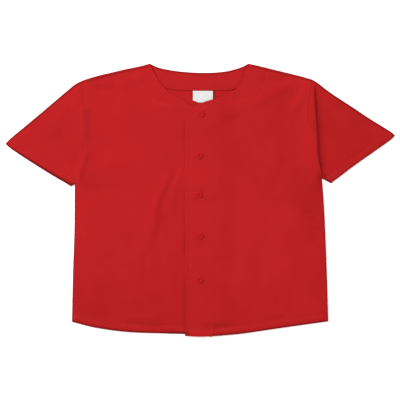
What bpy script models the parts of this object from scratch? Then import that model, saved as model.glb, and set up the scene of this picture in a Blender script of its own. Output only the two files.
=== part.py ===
"""A plain baseball jersey with a full button front, laid flat with its front up.

Metres, +Z up. The jersey lies on the floor at z = 0 with its neck towards +Y and the wearer's left
side towards +X. The origin is on the floor, under the middle of the jersey's box. Right and left
are the wearer's. Every table is in millimetres, seen from above.
"""

import math
from typing import NamedTuple

import bmesh
import bpy
from mathutils import Matrix, Vector
from mathutils.geometry import intersect_point_line

MM = 0.001
SHARP_ANGLE = math.radians(40.0)

# Cloth, seams and the stack of layers
WALL = 1.2
SEAM_GAP = 0.3
FACING_WALL = 1.0
BACK_TOP = WALL
FRONT_UNDER = BACK_TOP + SEAM_GAP
PLACKET_GAP = 0.5
PLACKET_STEP = WALL + PLACKET_GAP

# The round fold at a flattened sleeve's edges
TUBE_EDGE_RADIUS = WALL + SEAM_GAP / 2
ROUNDING_DEGREES = (45.0, 0.0, -45.0)
ARMHOLE_SHIFT = 0.36

# Loft of the cloth, and how fast it dies away towards the outline
LOFT = 0.9
LOFT_REACH = 14.0
FOLD_REACH = 9.0
FOLD_END = 0.25

# The facing and the label lift what lies on them, within these half widths and lengths
LIFT_OVER_FACING = FACING_WALL + SEAM_GAP
LIFT_HALF_WIDTH = 150.0
LIFT_HALF_WIDTH_END = 178.0
LIFT_FULL_Y = 180.0
LIFT_START_Y = 115.0

# The button stand
PLACKET_EDGE_X = -30.5
PLACKET_SEAM_X = 28.5
UNDER_PLACKET_SEAM_X = -26.5
UNDER_PLACKET_EDGE_X = 23.5
OVERLAP_EASE = 48.0

# Steps of the grids
ARMHOLE_STEPS = 12
SIDE_STEPS = 13
FRONT_COLUMNS = 20
BACK_SIDE_STEPS = 6
SHOULDER_STEPS = 5
NECK_STEPS = 10
SLEEVE_STATIONS = 14
SLEEVE_CROWDING = 1.6
NECKLINE_STEPS = 8
PLACKET_STEPS = 25
PLACKET_COLUMNS = 4
CORNER_STEPS = 3
FACING_STEPS = 24
FACING_ROWS = 3
LABEL_STEPS = 3
CURVE_STEPS = 10

# The roll of cloth beside the left armhole
ROLL_HEIGHT = 4.6
ROLL_EXTRA_WALL = 0.8
ROLL_REACH_IN = 20.0
ROLL_DROP = 9.0
ROLL_FLATTENING = 0.25
ROLL_FLAT_START = 0.6

# Buttons, with four holes
BUTTON_RADIUS = 7.0
BUTTON_THICKNESS = 2.5
BUTTON_SIDES = 24
SEAT_SAMPLES = 8
HOLE_RADIUS = 0.85
HOLE_OFFSET = 1.25
HOLE_SIDES = 10
MERGE = 1e-4

# Radius and height round the button's section, from the middle of its back to its front
BUTTON_PROFILE = (
    (0.0, 0.0), (5.6, 0.0), (6.6, 0.5), (BUTTON_RADIUS, 1.3),
    (6.5, 2.2), (5.6, BUTTON_THICKNESS), (4.6, 1.8), (0.0, 1.7),
)

CLOTH_RED = (0.50, 0.018, 0.019)
BUTTON_RED = (0.45, 0.014, 0.016)
LABEL_WHITE = (0.85, 0.85, 0.84)


class SideOutline(NamedTuple):
    """One side of the jersey. Each edge is a list of points that its curve runs through."""

    name: str
    side_seam: tuple
    armhole: tuple
    shoulder: tuple
    overarm: tuple
    cuff_corner: tuple
    outward: int


RIGHT_SIDE = SideOutline(
    name="right",
    side_seam=((-256.5, -243.0), (-254.5, -150.0), (-251.5, -60.0), (-250.8, 32.0)),
    armhole=(
        (-250.8, 32.0), (-246.0, 63.0), (-234.0, 96.0),
        (-231.8, 140.0), (-231.5, 178.0), (-234.0, 240.0),
    ),
    shoulder=((-234.0, 240.0), (-206.7, 248.4), (-155.7, 260.4), (-118.3, 268.4), (-100.5, 273.1)),
    overarm=(
        (-234.0, 240.0), (-249.0, 232.6), (-268.9, 216.6), (-306.5, 184.6),
        (-350.5, 147.6), (-379.5, 123.4), (-389.5, 112.0),
    ),
    cuff_corner=(-258.4, 27.6),
    outward=-1,
)

LEFT_SIDE = SideOutline(
    name="left",
    side_seam=((255.8, -242.0), (253.5, -160.0), (248.8, -40.0), (245.8, 10.6), (243.0, 43.4)),
    armhole=(
        (243.0, 43.4), (234.0, 67.0), (222.0, 100.0),
        (216.0, 150.0), (214.8, 190.0), (224.0, 241.3),
    ),
    shoulder=((224.0, 241.3), (199.1, 248.4), (149.7, 260.4), (117.3, 268.4), (96.1, 273.1)),
    overarm=(
        (224.0, 241.3), (236.0, 235.6), (259.8, 217.0), (306.9, 184.6),
        (339.5, 162.8), (369.5, 144.4), (389.5, 128.6),
    ),
    cuff_corner=(261.5, 33.6),
    outward=1,
)

# Hems, from the wearer's right to left
BACK_HEM = (
    (-256.5, -243.0), (-208.0, -254.0), (-136.0, -263.0),
    (0.0, -267.5), (130.0, -259.0), (255.8, -242.0),
)
RIGHT_FRONT_HEM = ((-256.5, -243.0), (-208.0, -255.0), (-136.0, -264.0), (UNDER_PLACKET_SEAM_X, -266.5))
LEFT_FRONT_HEM = ((PLACKET_SEAM_X, -271.4), (79.5, -267.2), (151.5, -256.8), (255.8, -242.0))
TOP_PLACKET_HEM = ((PLACKET_EDGE_X, -271.2), (0.0, -272.5), (PLACKET_SEAM_X, -271.4))
UNDER_PLACKET_HEM = ((UNDER_PLACKET_SEAM_X, -266.8), (UNDER_PLACKET_EDGE_X, -273.1))

# Necklines, from the placket's seam up to the neck point
RIGHT_NECKLINE = (
    (UNDER_PLACKET_SEAM_X, 193.6), (-42.0, 202.2), (-60.0, 213.0),
    (-76.0, 230.0), (-90.0, 251.0), (-100.5, 273.1),
)
LEFT_NECKLINE = (
    (PLACKET_SEAM_X, 202.2), (46.0, 208.4), (67.5, 219.5),
    (80.5, 232.0), (88.5, 248.0), (96.1, 273.1),
)
BACK_NECKLINE = (
    (-100.5, 273.1), (-82.0, 265.0), (-40.0, 257.6), (8.0, 255.0),
    (50.0, 257.6), (80.0, 265.4), (96.1, 273.1),
)

# The round upper corners of the plackets, from the front edge in to the seam
TOP_PLACKET_CORNER = ((PLACKET_EDGE_X, 157.0), (-28.0, 166.0), (-21.0, 176.0))
TOP_PLACKET_NECKLINE = ((-21.0, 176.0), (-11.5, 186.2), (6.5, 195.8), (PLACKET_SEAM_X, 202.2))
UNDER_PLACKET_CORNER = ((UNDER_PLACKET_EDGE_X, 155.0), (22.0, 163.0), (15.0, 172.0))
UNDER_PLACKET_NECKLINE = ((UNDER_PLACKET_SEAM_X, 193.6), (-14.5, 187.6), (0.0, 181.0), (15.0, 172.0))

# The facing inside the back neck: its ends lie in the shoulder seams
FACING_LOWER_EDGE = (
    (-133.0, 264.0), (-98.0, 238.0), (-65.0, 224.0), (-15.0, 219.8),
    (30.0, 221.0), (66.0, 222.4), (99.0, 240.0), (129.0, 264.2),
)
FACING_SETBACK = 0.8
LABEL_LEFT_X = -14.6
LABEL_RIGHT_X = 25.4
LABEL_LOWER_Y = 195.0
LABEL_UPPER_Y = 218.6


class Fold(NamedTuple):
    """A soft ridge along its crest, or a trough where the height is negative."""

    name: str
    crest: tuple
    reach: float
    height: float


FOLDS = (
    Fold(
        "long fold down the right front",
        (
            (-56.0, 72.0), (-72.0, 24.0), (-84.0, 0.0), (-91.0, -26.0),
            (-95.0, -56.0), (-106.0, -90.0), (-114.0, -132.0),
        ),
        10.0, 1.7,
    ),
    Fold(
        "beside the right armhole",
        ((-227.0, 106.0), (-234.0, 78.0), (-242.0, 52.0), (-248.0, 32.0)),
        8.0, 1.4,
    ),
    Fold("down the right armhole", ((-232.0, 194.0), (-231.0, 160.0), (-230.0, 112.0)), 8.0, 1.1),
    Fold(
        "left front, neck to shoulder",
        ((46.0, 178.0), (80.0, 188.0), (112.0, 198.0), (146.0, 212.0), (172.0, 227.0), (194.0, 239.0)),
        9.0, 1.5,
    ),
    Fold("left shoulder end", ((184.0, 176.0), (198.0, 196.0), (210.0, 218.0)), 9.0, 1.4),
    Fold("left side, above the hollow", ((150.0, 34.0), (188.0, 8.0), (214.0, -12.0)), 10.0, 0.9),
    Fold("left side hollow", ((204.0, -22.0), (220.0, -32.0), (236.0, -46.0)), 9.0, -0.9),
    Fold("left side, below the hollow", ((176.0, -22.0), (204.0, -58.0), (232.0, -80.0)), 12.0, 1.1),
    Fold("across the lower placket", ((-40.0, -109.0), (20.0, -110.0), (76.0, -108.0)), 9.0, 0.7),
    Fold("left front, towards the hem", ((100.0, -60.0), (92.0, -130.0), (96.0, -190.0)), 18.0, 0.6),
    Fold(
        "right front, towards the side",
        ((-196.0, -120.0), (-206.0, -180.0), (-196.0, -226.0)),
        18.0, 0.4,
    ),
    Fold("right sleeve, shoulder to cuff", ((-262.0, 190.0), (-300.0, 140.0), (-326.0, 104.0)), 14.0, 0.6),
    Fold("left sleeve, shoulder to cuff", ((268.0, 182.0), (300.0, 152.0), (346.0, 118.0)), 12.0, 1.2),
)

ROLL_CREST = (
    (226.0, 238.0), (226.5, 205.0), (229.5, 165.0), (231.8, 129.8),
    (233.5, 90.0), (238.0, 65.2), (241.6, 46.0),
)


class Button(NamedTuple):
    """Where a button is sewn, and how far it is turned, in degrees."""

    x: float
    y: float
    turn: float


BUTTONS = (
    Button(1.6, 173.0, 12.0),
    Button(-1.9, 89.6, 38.0),
    Button(-1.9, 11.0, 5.0),
    Button(-0.5, -71.0, 27.0),
    Button(-1.5, -158.4, 50.0),
)


def clear_scene():
    for thing in list(bpy.data.objects):
        bpy.data.objects.remove(thing, do_unlink=True)


def make_material(name, colour, roughness):
    material = bpy.data.materials.new(name)
    material.use_nodes = True
    shader = material.node_tree.nodes["Principled BSDF"]
    shader.inputs["Base Color"].default_value = (*colour, 1.0)
    shader.inputs["Roughness"].default_value = roughness
    shader.inputs["Metallic"].default_value = 0.0
    return material


def ease(value, start, end):
    """From 0 at start to 1 at end, with no corner at either."""
    share = min(max((value - start) / (end - start), 0.0), 1.0)
    return share * share * (3.0 - 2.0 * share)


def curve_through(points):
    """A fine line through the points, whose direction at each comes from its two neighbours."""
    knots = [Vector(point) for point in points]
    line = [knots[0]]
    for index in range(len(knots) - 1):
        start, end = knots[index], knots[index + 1]
        before, after = knots[max(index - 1, 0)], knots[min(index + 2, len(knots) - 1)]
        span = (end - start).length
        leave = (end - before).normalized() * span
        arrive = (after - start).normalized() * span
        for step in range(1, CURVE_STEPS + 1):
            t = step / CURVE_STEPS
            line.append(
                start * (2 * t**3 - 3 * t**2 + 1)
                + leave * (t**3 - 2 * t**2 + t)
                + end * (3 * t**2 - 2 * t**3)
                + arrive * (t**3 - t**2)
            )
    return line


def shares(steps, crowding=1.0):
    """Fractions from 0 to 1, closer together near 0 when crowding is over 1."""
    return [(index / steps) ** crowding for index in range(steps + 1)]


def spaced(points, fractions):
    """Points at these fractions of the length of the curve through the given ones."""
    line = curve_through(points)
    lengths = [0.0]
    for start, end in zip(line, line[1:]):
        lengths.append(lengths[-1] + (end - start).length)
    found = []
    index = 0
    for fraction in fractions:
        target = fraction * lengths[-1]
        while index < len(line) - 2 and lengths[index + 1] < target:
            index += 1
        span = lengths[index + 1] - lengths[index]
        found.append(line[index].lerp(line[index + 1], (target - lengths[index]) / span))
    return found


def joined(*stretches):
    """One edge from stretches that share their end points, which stay corners."""
    edge = list(stretches[0])
    for stretch in stretches[1:]:
        edge += stretch[1:]
    return edge


def patch(lower, upper, near, far, across=None):
    """Rows of points between four edges. The lower and upper ones run from the near to the far one."""
    columns, rows = len(lower) - 1, len(near) - 1
    across = across or shares(columns)
    grid = []
    for row in range(rows + 1):
        v = row / rows
        line = []
        for column in range(columns + 1):
            u = across[column]
            between_rows = lower[column].lerp(upper[column], v)
            between_columns = near[row].lerp(far[row], u)
            between_corners = lower[0].lerp(lower[-1], u).lerp(upper[0].lerp(upper[-1], u), v)
            line.append(between_rows + between_columns - between_corners)
        grid.append(line)
    return grid


def distance_to(point, line):
    """The distance from a point to a line, its side, 1 for the left, and how far along the line it is."""
    best, side, along = math.inf, 1.0, 0.0
    for index, (start, end) in enumerate(zip(line, line[1:])):
        foot, share = intersect_point_line(point, start, end)
        share = min(max(share, 0.0), 1.0)
        foot = start.lerp(end, share)
        gap = (point - foot.xy).length
        if gap < best:
            run, out = end - start, point - start
            best, side = gap, math.copysign(1.0, run.x * out.y - run.y * out.x)
            along = (index + share) / (len(line) - 1)
    return best, side, along


def silhouette():
    """The lines that the top layer comes down to: shoulders, overarms, cuffs, sides and hem."""
    lines = [curve_through(RIGHT_FRONT_HEM), curve_through(LEFT_FRONT_HEM)]
    for side in (RIGHT_SIDE, LEFT_SIDE):
        lines.append(curve_through(side.shoulder))
        lines.append(curve_through(side.overarm))
        lines.append([Vector(side.overarm[-1]), Vector(side.cuff_corner), Vector(side.side_seam[-1])])
        lines.append(curve_through(side.side_seam))
    return lines


SILHOUETTE = silhouette()
FOLD_LINES = [(fold, curve_through(fold.crest)) for fold in FOLDS]
ROLL_LINE = curve_through(ROLL_CREST)


def outline_distance(point):
    return min(distance_to(point, line)[0] for line in SILHOUETTE)


def loft(point, from_outline):
    """How far the cloth stands off what it lies on, with the lift that the facing and label give."""
    over_facing = 1.0 - ease(abs(point.x), LIFT_HALF_WIDTH, LIFT_HALF_WIDTH_END)
    over_facing *= ease(point.y, LIFT_START_Y, LIFT_FULL_Y)
    return LIFT_OVER_FACING * over_facing + LOFT * (1.0 - math.exp(-from_outline / LOFT_REACH))


def folds(point):
    """The sum of the ridges and troughs."""
    total = 0.0
    for fold, line in FOLD_LINES:
        gap, _, along = distance_to(point, line)
        ends = ease(along, 0.0, FOLD_END) * (1.0 - ease(along, 1.0 - FOLD_END, 1.0))
        total += fold.height * ends * math.exp(-((gap / fold.reach) ** 2))
    return total


def roll(point):
    """The share of the roll's height: a long rise from the body, and a short drop to the sleeve."""
    gap, side, along = distance_to(point, ROLL_LINE)
    height = 1.0 - ROLL_FLATTENING * ease(along, ROLL_FLAT_START, 1.0)
    if side > 0:
        return height * (1.0 - ease(gap, 0.0, ROLL_DROP))
    return height * math.exp(-((gap / ROLL_REACH_IN) ** 2))


def top_layer(point):
    """The underside and the wall of a front or of a sleeve's upper layer."""
    from_outline = outline_distance(point)
    inside = 1.0 - math.exp(-((from_outline / FOLD_REACH) ** 2))
    roll_share = roll(point) * inside
    relief = max(folds(point) * inside, -LOFT * inside) * (1.0 - roll_share)
    under = FRONT_UNDER + loft(point, from_outline) * (1.0 - roll_share) + relief + ROLL_HEIGHT * roll_share
    return under, WALL + ROLL_EXTRA_WALL * roll_share


def left_front_layer(point):
    """The left front rises to the top placket, which lies on the under placket."""
    under, wall = top_layer(point)
    return under + PLACKET_STEP * (1.0 - ease(point.x, PLACKET_SEAM_X, PLACKET_SEAM_X + OVERLAP_EASE)), wall


def under_placket_layer(point):
    return FRONT_UNDER + loft(point, outline_distance(point)), WALL


def top_placket_layer(point):
    under, wall = top_layer(point)
    return max(under, under_placket_layer(point)[0]) + PLACKET_STEP, wall


def back_layer(point):
    return 0.0, WALL


def facing_layer(point):
    return FRONT_UNDER, FACING_WALL


def make_object(name, mesh, material):
    piece = bpy.data.objects.new(name, mesh)
    bpy.context.scene.collection.objects.link(piece)
    piece.data.materials.clear()
    piece.data.materials.append(material)
    return piece


def finish_mesh(name, shape):
    """Turns the faces outwards, shades the mesh smooth and keeps the rims sharp."""
    bmesh.ops.recalc_face_normals(shape, faces=shape.faces)
    bmesh.ops.scale(shape, verts=shape.verts, vec=(MM, MM, MM))
    mesh = bpy.data.meshes.new(name)
    shape.to_mesh(mesh)
    shape.free()
    mesh.shade_smooth()
    mesh.set_sharp_from_angle(angle=SHARP_ANGLE)
    return mesh


def join_rings(shape, first, second):
    """Faces between two closed rings of points, one for one."""
    for index in range(len(first)):
        after = (index + 1) % len(first)
        shape.faces.new((first[index], first[after], second[after], second[index]))


def make_panel(name, grid, layer, material):
    """A cut piece: its grid gives the underside, and the wall stands on it."""
    shape = bmesh.new()
    sheets = ([], [])
    for row in grid:
        lines = ([], [])
        for point in row:
            under, wall = layer(point)
            lines[0].append(shape.verts.new((point.x, point.y, under)))
            lines[1].append(shape.verts.new((point.x, point.y, under + wall)))
        sheets[0].append(lines[0])
        sheets[1].append(lines[1])
    for sheet in sheets:
        for line, after in zip(sheet, sheet[1:]):
            for column in range(len(line) - 1):
                shape.faces.new((line[column], line[column + 1], after[column + 1], after[column]))
    rims = []
    for sheet in sheets:
        up_far = [line[-1] for line in sheet[1:-1]]
        down_near = [line[0] for line in sheet[-2:0:-1]]
        rims.append(sheet[0] + up_far + sheet[-1][::-1] + down_near)
    join_rings(shape, *rims)
    return make_object(name, finish_mesh(name, shape), material)


def edge_rounding(end, neighbour, radius):
    """The centre of the rounding at one edge of a flattened tube, and its points with their heights."""
    outward = (end - neighbour).normalized()
    centre = end - outward * TUBE_EDGE_RADIUS
    points = []
    for degrees in ROUNDING_DEGREES:
        angle = math.radians(degrees)
        spot = centre + outward * radius * math.cos(angle)
        points.append((spot, TUBE_EDGE_RADIUS + radius * math.sin(angle)))
    return centre, points


def sleeve_ring(line, inner):
    """One ring round the flattened sleeve: its upper layer, the overarm fold, its lower layer."""
    radius = SEAM_GAP / 2 if inner else TUBE_EDGE_RADIUS
    under_centre, under_edge = edge_rounding(line[0], line[1], radius)
    over_centre, over_edge = edge_rounding(line[-1], line[-2], radius)
    middle = [under_centre] + list(line[1:-1]) + [over_centre]
    upper = []
    for point in middle:
        under, wall = top_layer(point)
        upper.append((point, under if inner else under + wall))
    lower = [(point, WALL if inner else 0.0) for point in reversed(middle)]
    return upper + over_edge + lower + under_edge[::-1]


def make_sleeve(side, material):
    """A flattened tube, open at the armhole and at the cuff."""
    stations = shares(SLEEVE_STATIONS, SLEEVE_CROWDING)
    shift = Vector((side.outward * ARMHOLE_SHIFT, 0.0))
    armhole = [point + shift for point in spaced(side.armhole, shares(ARMHOLE_STEPS))]
    under_edge = spaced((armhole[0], side.cuff_corner), stations)
    over_edge = spaced((armhole[-1],) + side.overarm[1:], stations)
    cuff = spaced((side.cuff_corner, side.overarm[-1]), shares(ARMHOLE_STEPS))
    grid = patch(under_edge, over_edge, armhole, cuff, stations)
    shape = bmesh.new()
    outer_rings, inner_rings = [], []
    for station in range(SLEEVE_STATIONS + 1):
        line = [row[station] for row in grid]
        for rings, inner in ((outer_rings, False), (inner_rings, True)):
            ring = sleeve_ring(line, inner)
            rings.append([shape.verts.new((point.x, point.y, z)) for point, z in ring])
    for rings in (outer_rings, inner_rings):
        for first, second in zip(rings, rings[1:]):
            join_rings(shape, first, second)
    join_rings(shape, outer_rings[0], inner_rings[0])
    join_rings(shape, outer_rings[-1], inner_rings[-1])
    name = f"sleeve_{side.name}"
    return make_object(name, finish_mesh(name, shape), material)


def outer_edge(side, side_steps):
    """From the hem's corner up the side seam and the armhole to the shoulder."""
    side_seam = spaced(side.side_seam, shares(side_steps))
    armhole = spaced(side.armhole, shares(ARMHOLE_STEPS))
    return joined(side_seam, armhole)


def make_back(material):
    upper = joined(
        spaced(RIGHT_SIDE.shoulder, shares(SHOULDER_STEPS)),
        spaced(BACK_NECKLINE, shares(NECK_STEPS)),
        spaced(LEFT_SIDE.shoulder, shares(SHOULDER_STEPS))[::-1],
    )
    lower = spaced(BACK_HEM, shares(len(upper) - 1))
    right = outer_edge(RIGHT_SIDE, BACK_SIDE_STEPS)
    left = outer_edge(LEFT_SIDE, BACK_SIDE_STEPS)
    return make_panel("back_panel", patch(lower, upper, right, left), back_layer, material)


def inner_edge(hem_end, neckline, steps):
    """From the hem up the placket's seam and the neckline to the neck point."""
    seam = spaced((hem_end, neckline[0]), shares(steps - NECKLINE_STEPS))
    return joined(seam, spaced(neckline, shares(NECKLINE_STEPS)))


def make_right_front(material):
    outer = outer_edge(RIGHT_SIDE, SIDE_STEPS)
    inner = inner_edge(RIGHT_FRONT_HEM[-1], RIGHT_NECKLINE, len(outer) - 1)
    lower = spaced(RIGHT_FRONT_HEM, shares(FRONT_COLUMNS))
    upper = spaced(RIGHT_SIDE.shoulder, shares(FRONT_COLUMNS))
    return make_panel("front_right", patch(lower, upper, outer, inner), top_layer, material)


def make_left_front(material):
    outer = outer_edge(LEFT_SIDE, SIDE_STEPS)
    inner = inner_edge(LEFT_FRONT_HEM[0], LEFT_NECKLINE, len(outer) - 1)
    lower = spaced(LEFT_FRONT_HEM, shares(FRONT_COLUMNS))
    upper = spaced(LEFT_SIDE.shoulder, shares(FRONT_COLUMNS))[::-1]
    return make_panel("front_left", patch(lower, upper, inner, outer), left_front_layer, material)


def placket_edge(hem_end, corner):
    """From the hem up the free edge and round the corner at the neck."""
    straight = spaced((hem_end, corner[0]), shares(PLACKET_STEPS - CORNER_STEPS))
    return joined(straight, spaced(corner, shares(CORNER_STEPS)))


def make_top_placket(material):
    """The buttonhole side. It ends a seam's gap before the left front."""
    edge = placket_edge(TOP_PLACKET_HEM[0], TOP_PLACKET_CORNER)
    seam = spaced((TOP_PLACKET_HEM[-1], TOP_PLACKET_NECKLINE[-1]), shares(PLACKET_STEPS))
    lower = spaced(TOP_PLACKET_HEM, shares(PLACKET_COLUMNS))
    upper = spaced(TOP_PLACKET_NECKLINE, shares(PLACKET_COLUMNS))
    grid = patch(lower, upper, edge, seam)
    for row in grid:
        row[-1] = row[-1] - Vector((SEAM_GAP, 0.0))
    return make_panel("placket_left", grid, top_placket_layer, material)


def make_under_placket(material):
    """The button side. It starts a seam's gap after the right front."""
    seam = spaced((UNDER_PLACKET_HEM[0], UNDER_PLACKET_NECKLINE[0]), shares(PLACKET_STEPS))
    edge = placket_edge(UNDER_PLACKET_HEM[-1], UNDER_PLACKET_CORNER)
    lower = spaced(UNDER_PLACKET_HEM, shares(PLACKET_COLUMNS))
    upper = spaced(UNDER_PLACKET_NECKLINE, shares(PLACKET_COLUMNS))
    grid = patch(lower, upper, seam, edge)
    for row in grid:
        row[0] = row[0] + Vector((SEAM_GAP, 0.0))
    return make_panel("placket_right", grid, under_placket_layer, material)


def make_neck_facing(material):
    """A band along the back neck, a little inside its edge, with its ends in the shoulder seams."""
    lower = spaced(FACING_LOWER_EDGE, shares(FACING_STEPS))
    upper = spaced(BACK_NECKLINE, shares(FACING_STEPS))
    right_end = spaced((lower[0], upper[0]), shares(FACING_ROWS))
    left_end = spaced((lower[-1], upper[-1]), shares(FACING_ROWS))
    setback = Vector((0.0, -FACING_SETBACK))
    grid = [[point + setback for point in row] for row in patch(lower, upper, right_end, left_end)]
    return make_panel("back_neck_facing", grid, facing_layer, material)


def make_label(material):
    """The neck label hangs from the facing's lower edge."""
    lower = spaced(((LABEL_LEFT_X, LABEL_LOWER_Y), (LABEL_RIGHT_X, LABEL_LOWER_Y)), shares(LABEL_STEPS))
    upper = spaced(((LABEL_LEFT_X, LABEL_UPPER_Y), (LABEL_RIGHT_X, LABEL_UPPER_Y)), shares(LABEL_STEPS))
    return make_panel("neck_label", [lower, upper], facing_layer, material)


def make_button_mesh(material):
    """A turned disc with a rim round a dished face, and four holes through it."""
    shape = bmesh.new()
    line = [shape.verts.new((radius, 0.0, height)) for radius, height in BUTTON_PROFILE]
    edges = [shape.edges.new(pair) for pair in zip(line, line[1:])]
    bmesh.ops.spin(
        shape, geom=line + edges, axis=(0, 0, 1), cent=(0, 0, 0),
        angle=math.tau, steps=BUTTON_SIDES, use_merge=True,
    )
    bmesh.ops.remove_doubles(shape, verts=shape.verts, dist=MERGE)
    disc = make_object("button_disc", finish_mesh("button_disc", shape), material)
    drills = bmesh.new()
    for across in (-HOLE_OFFSET, HOLE_OFFSET):
        for along in (-HOLE_OFFSET, HOLE_OFFSET):
            place = Matrix.Translation((across, along, BUTTON_THICKNESS / 2))
            bmesh.ops.create_cone(
                drills, cap_ends=True, segments=HOLE_SIDES, radius1=HOLE_RADIUS, radius2=HOLE_RADIUS,
                depth=2 * BUTTON_THICKNESS, matrix=place,
            )
    drill = make_object("button_drills", finish_mesh("button_drills", drills), material)
    drill.hide_render = True
    drill.display_type = "WIRE"
    cut = disc.modifiers.new("holes", "BOOLEAN")
    cut.operation = "DIFFERENCE"
    cut.object = drill
    bpy.context.view_layer.update()
    mesh = bpy.data.meshes.new_from_object(disc.evaluated_get(bpy.context.evaluated_depsgraph_get()))
    mesh.name = "button"
    mesh.set_sharp_from_angle(angle=SHARP_ANGLE)
    for helper in (disc, drill):
        bpy.data.objects.remove(helper, do_unlink=True)
    return mesh


def button_seat(button):
    """The highest the placket gets under the button."""
    centre = Vector((button.x, button.y))
    highest = 0.0
    for step in range(SEAT_SAMPLES):
        angle = math.tau * step / SEAT_SAMPLES
        spot = centre + BUTTON_RADIUS * Vector((math.cos(angle), math.sin(angle)))
        highest = max(highest, sum(top_placket_layer(spot)))
    return highest


def make_buttons(material):
    mesh = make_button_mesh(material)
    for number, button in enumerate(BUTTONS, start=1):
        piece = make_object(f"button_{number}", mesh, material)
        piece.location = Vector((button.x, button.y, button_seat(button) + SEAM_GAP)) * MM
        piece.rotation_euler.z = math.radians(button.turn)


def main():
    clear_scene()
    cloth = make_material("jersey_cloth", CLOTH_RED, 0.85)
    label = make_material("label_cloth", LABEL_WHITE, 0.7)
    button = make_material("button_plastic", BUTTON_RED, 0.35)
    make_back(cloth)
    make_right_front(cloth)
    make_left_front(cloth)
    make_under_placket(cloth)
    make_top_placket(cloth)
    make_sleeve(RIGHT_SIDE, cloth)
    make_sleeve(LEFT_SIDE, cloth)
    make_neck_facing(cloth)
    make_label(label)
    make_buttons(button)


main()
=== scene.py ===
"""The looks of a plain red baseball jersey that lies flat with its front up.

Lengths are in millimetres and become metres where a mesh is made. +X runs to the wearer's left
sleeve, +Y from the hem to the neck, and z = 0 is the floor. Right and left are the wearer's.
"""

import math
from typing import NamedTuple

import bmesh
import bpy
import numpy as np
from mathutils import Matrix, Vector, noise


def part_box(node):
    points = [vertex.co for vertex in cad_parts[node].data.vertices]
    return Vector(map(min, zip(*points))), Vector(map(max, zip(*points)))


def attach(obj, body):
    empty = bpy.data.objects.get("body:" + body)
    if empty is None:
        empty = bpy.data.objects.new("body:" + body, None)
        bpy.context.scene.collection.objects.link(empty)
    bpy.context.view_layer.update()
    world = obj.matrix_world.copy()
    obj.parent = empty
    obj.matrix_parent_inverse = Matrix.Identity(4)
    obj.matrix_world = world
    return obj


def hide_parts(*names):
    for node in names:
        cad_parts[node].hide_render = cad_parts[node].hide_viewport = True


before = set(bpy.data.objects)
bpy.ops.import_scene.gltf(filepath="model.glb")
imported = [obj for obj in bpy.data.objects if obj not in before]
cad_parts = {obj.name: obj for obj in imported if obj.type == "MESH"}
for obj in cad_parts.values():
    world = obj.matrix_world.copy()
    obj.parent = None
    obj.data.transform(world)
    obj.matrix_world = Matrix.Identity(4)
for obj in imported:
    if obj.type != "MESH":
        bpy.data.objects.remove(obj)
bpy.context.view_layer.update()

MM = 0.001

# The photograph's frame: its middle, in the jersey's plan, and the width of its view
VIEW_MIDDLE = (-0.5, 0.6)
VIEW_WIDTH = 800.0
SENSOR_WIDTH = 36.0
LENS = 100.0

# Cloth and the stack of layers, as in the solids
WALL = 1.2
SEAM_GAP = 0.3
FACING_WALL = 1.0
BACK_TOP = WALL
FRONT_UNDER = BACK_TOP + SEAM_GAP
PLACKET_STEP = WALL + 0.5
TUBE_EDGE_RADIUS = WALL + SEAM_GAP / 2
SEAM_OVERLAP = 0.1
LOFT = 0.9
LOFT_REACH = 14.0
FOLD_REACH = 9.0
FOLD_END = 0.25
LIFT_OVER_FACING = FACING_WALL + SEAM_GAP
LIFT_HALF_WIDTH = 150.0
LIFT_HALF_WIDTH_END = 178.0
LIFT_FULL_Y = 180.0
LIFT_START_Y = 115.0

# The button stand
PLACKET_EDGE_X = -30.5
PLACKET_SEAM_X = 28.5
UNDER_PLACKET_SEAM_X = -26.5
UNDER_PLACKET_EDGE_X = 23.5
OVERLAP_EASE = 48.0
COVER_EASE = 10.0
SAGS_BY = 0.2

# The roll of cloth beside the left armhole
ROLL_HEIGHT = 5.0
ROLL_EXTRA_WALL = 0.4
ROLL_REACH_IN = 24.0
ROLL_DROP = 9.0
ROLL_TUCK = 5.6
ROLL_TUCK_END = 24.0
ROLL_FLATTENING = 0.25
ROLL_FLAT_START = 0.6
ROLL_LOW_START = 0.3
ROLL_LOW_END = 0.3

# Steps of the grids
ARMHOLE_STEPS = 84
SIDE_STEPS = 112
FRONT_COLUMNS = 92
NECKLINE_STEPS = 44
SHOULDER_STEPS = 30
NECK_STEPS = 60
SLEEVE_STATIONS = 120
SLEEVE_CROWDING = 1.35
PLACKET_STEPS = 200
PLACKET_COLUMNS = 24
CORNER_STEPS = 14
FACING_STEPS = 110
FACING_ROWS = 16
LABEL_STEPS = 24
CURVE_STEPS = 10
RIM_WIDTH = 0.45
SEAM_RIM_WIDTH = 0.1
SEAM_NEAR = 1.2
RIM_SEGMENTS = 3
FOLD_ANGLES = (0.8, 0.0, -0.8)
LEFT_CROWDING = 1.15
SIDE_LENGTH = 282.0
SEAM_LENGTH = 470.0
HEM_BAND = 22.0
HEM_ROWS = 14
LINE_STEP = 3.0

# Sewing: how far in its rows lie, and what they do to the cloth
HEM_DEPTH = 14.0
CUFF_DEPTH = 13.0
PLACKET_STITCH = 11.5
NECK_STITCH = 9.0
FACING_STITCH = 2.5
ARMHOLE_STITCH = 3.0
ROW_END = 1.5
HEM_RISE = 0.35
NECK_RISE = 0.12
CUFF_RISE = 0.18
BAND_EASE = 1.8
GROOVE_SHARE = 4.0
GROOVE_REACH = 2.0
PUCKER_LENGTH = 9.0
PUCKER_REACH = 5.0
PUCKER_HEIGHT = 0.28
SEAM_DIP = 0.12
SEAM_DIP_REACH = 2.5
SEWING_FADE = 3.0
LEFT_FACING_SEAM = ((45.5, 175.6), (79.5, 184.6), (112.9, 205.6), (127.0, 232.0), (134.0, 258.0))
RIGHT_FACING_SEAM = ((-40.0, 178.0), (-72.0, 190.0), (-104.0, 208.0), (-124.0, 234.0), (-134.0, 258.0))

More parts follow.
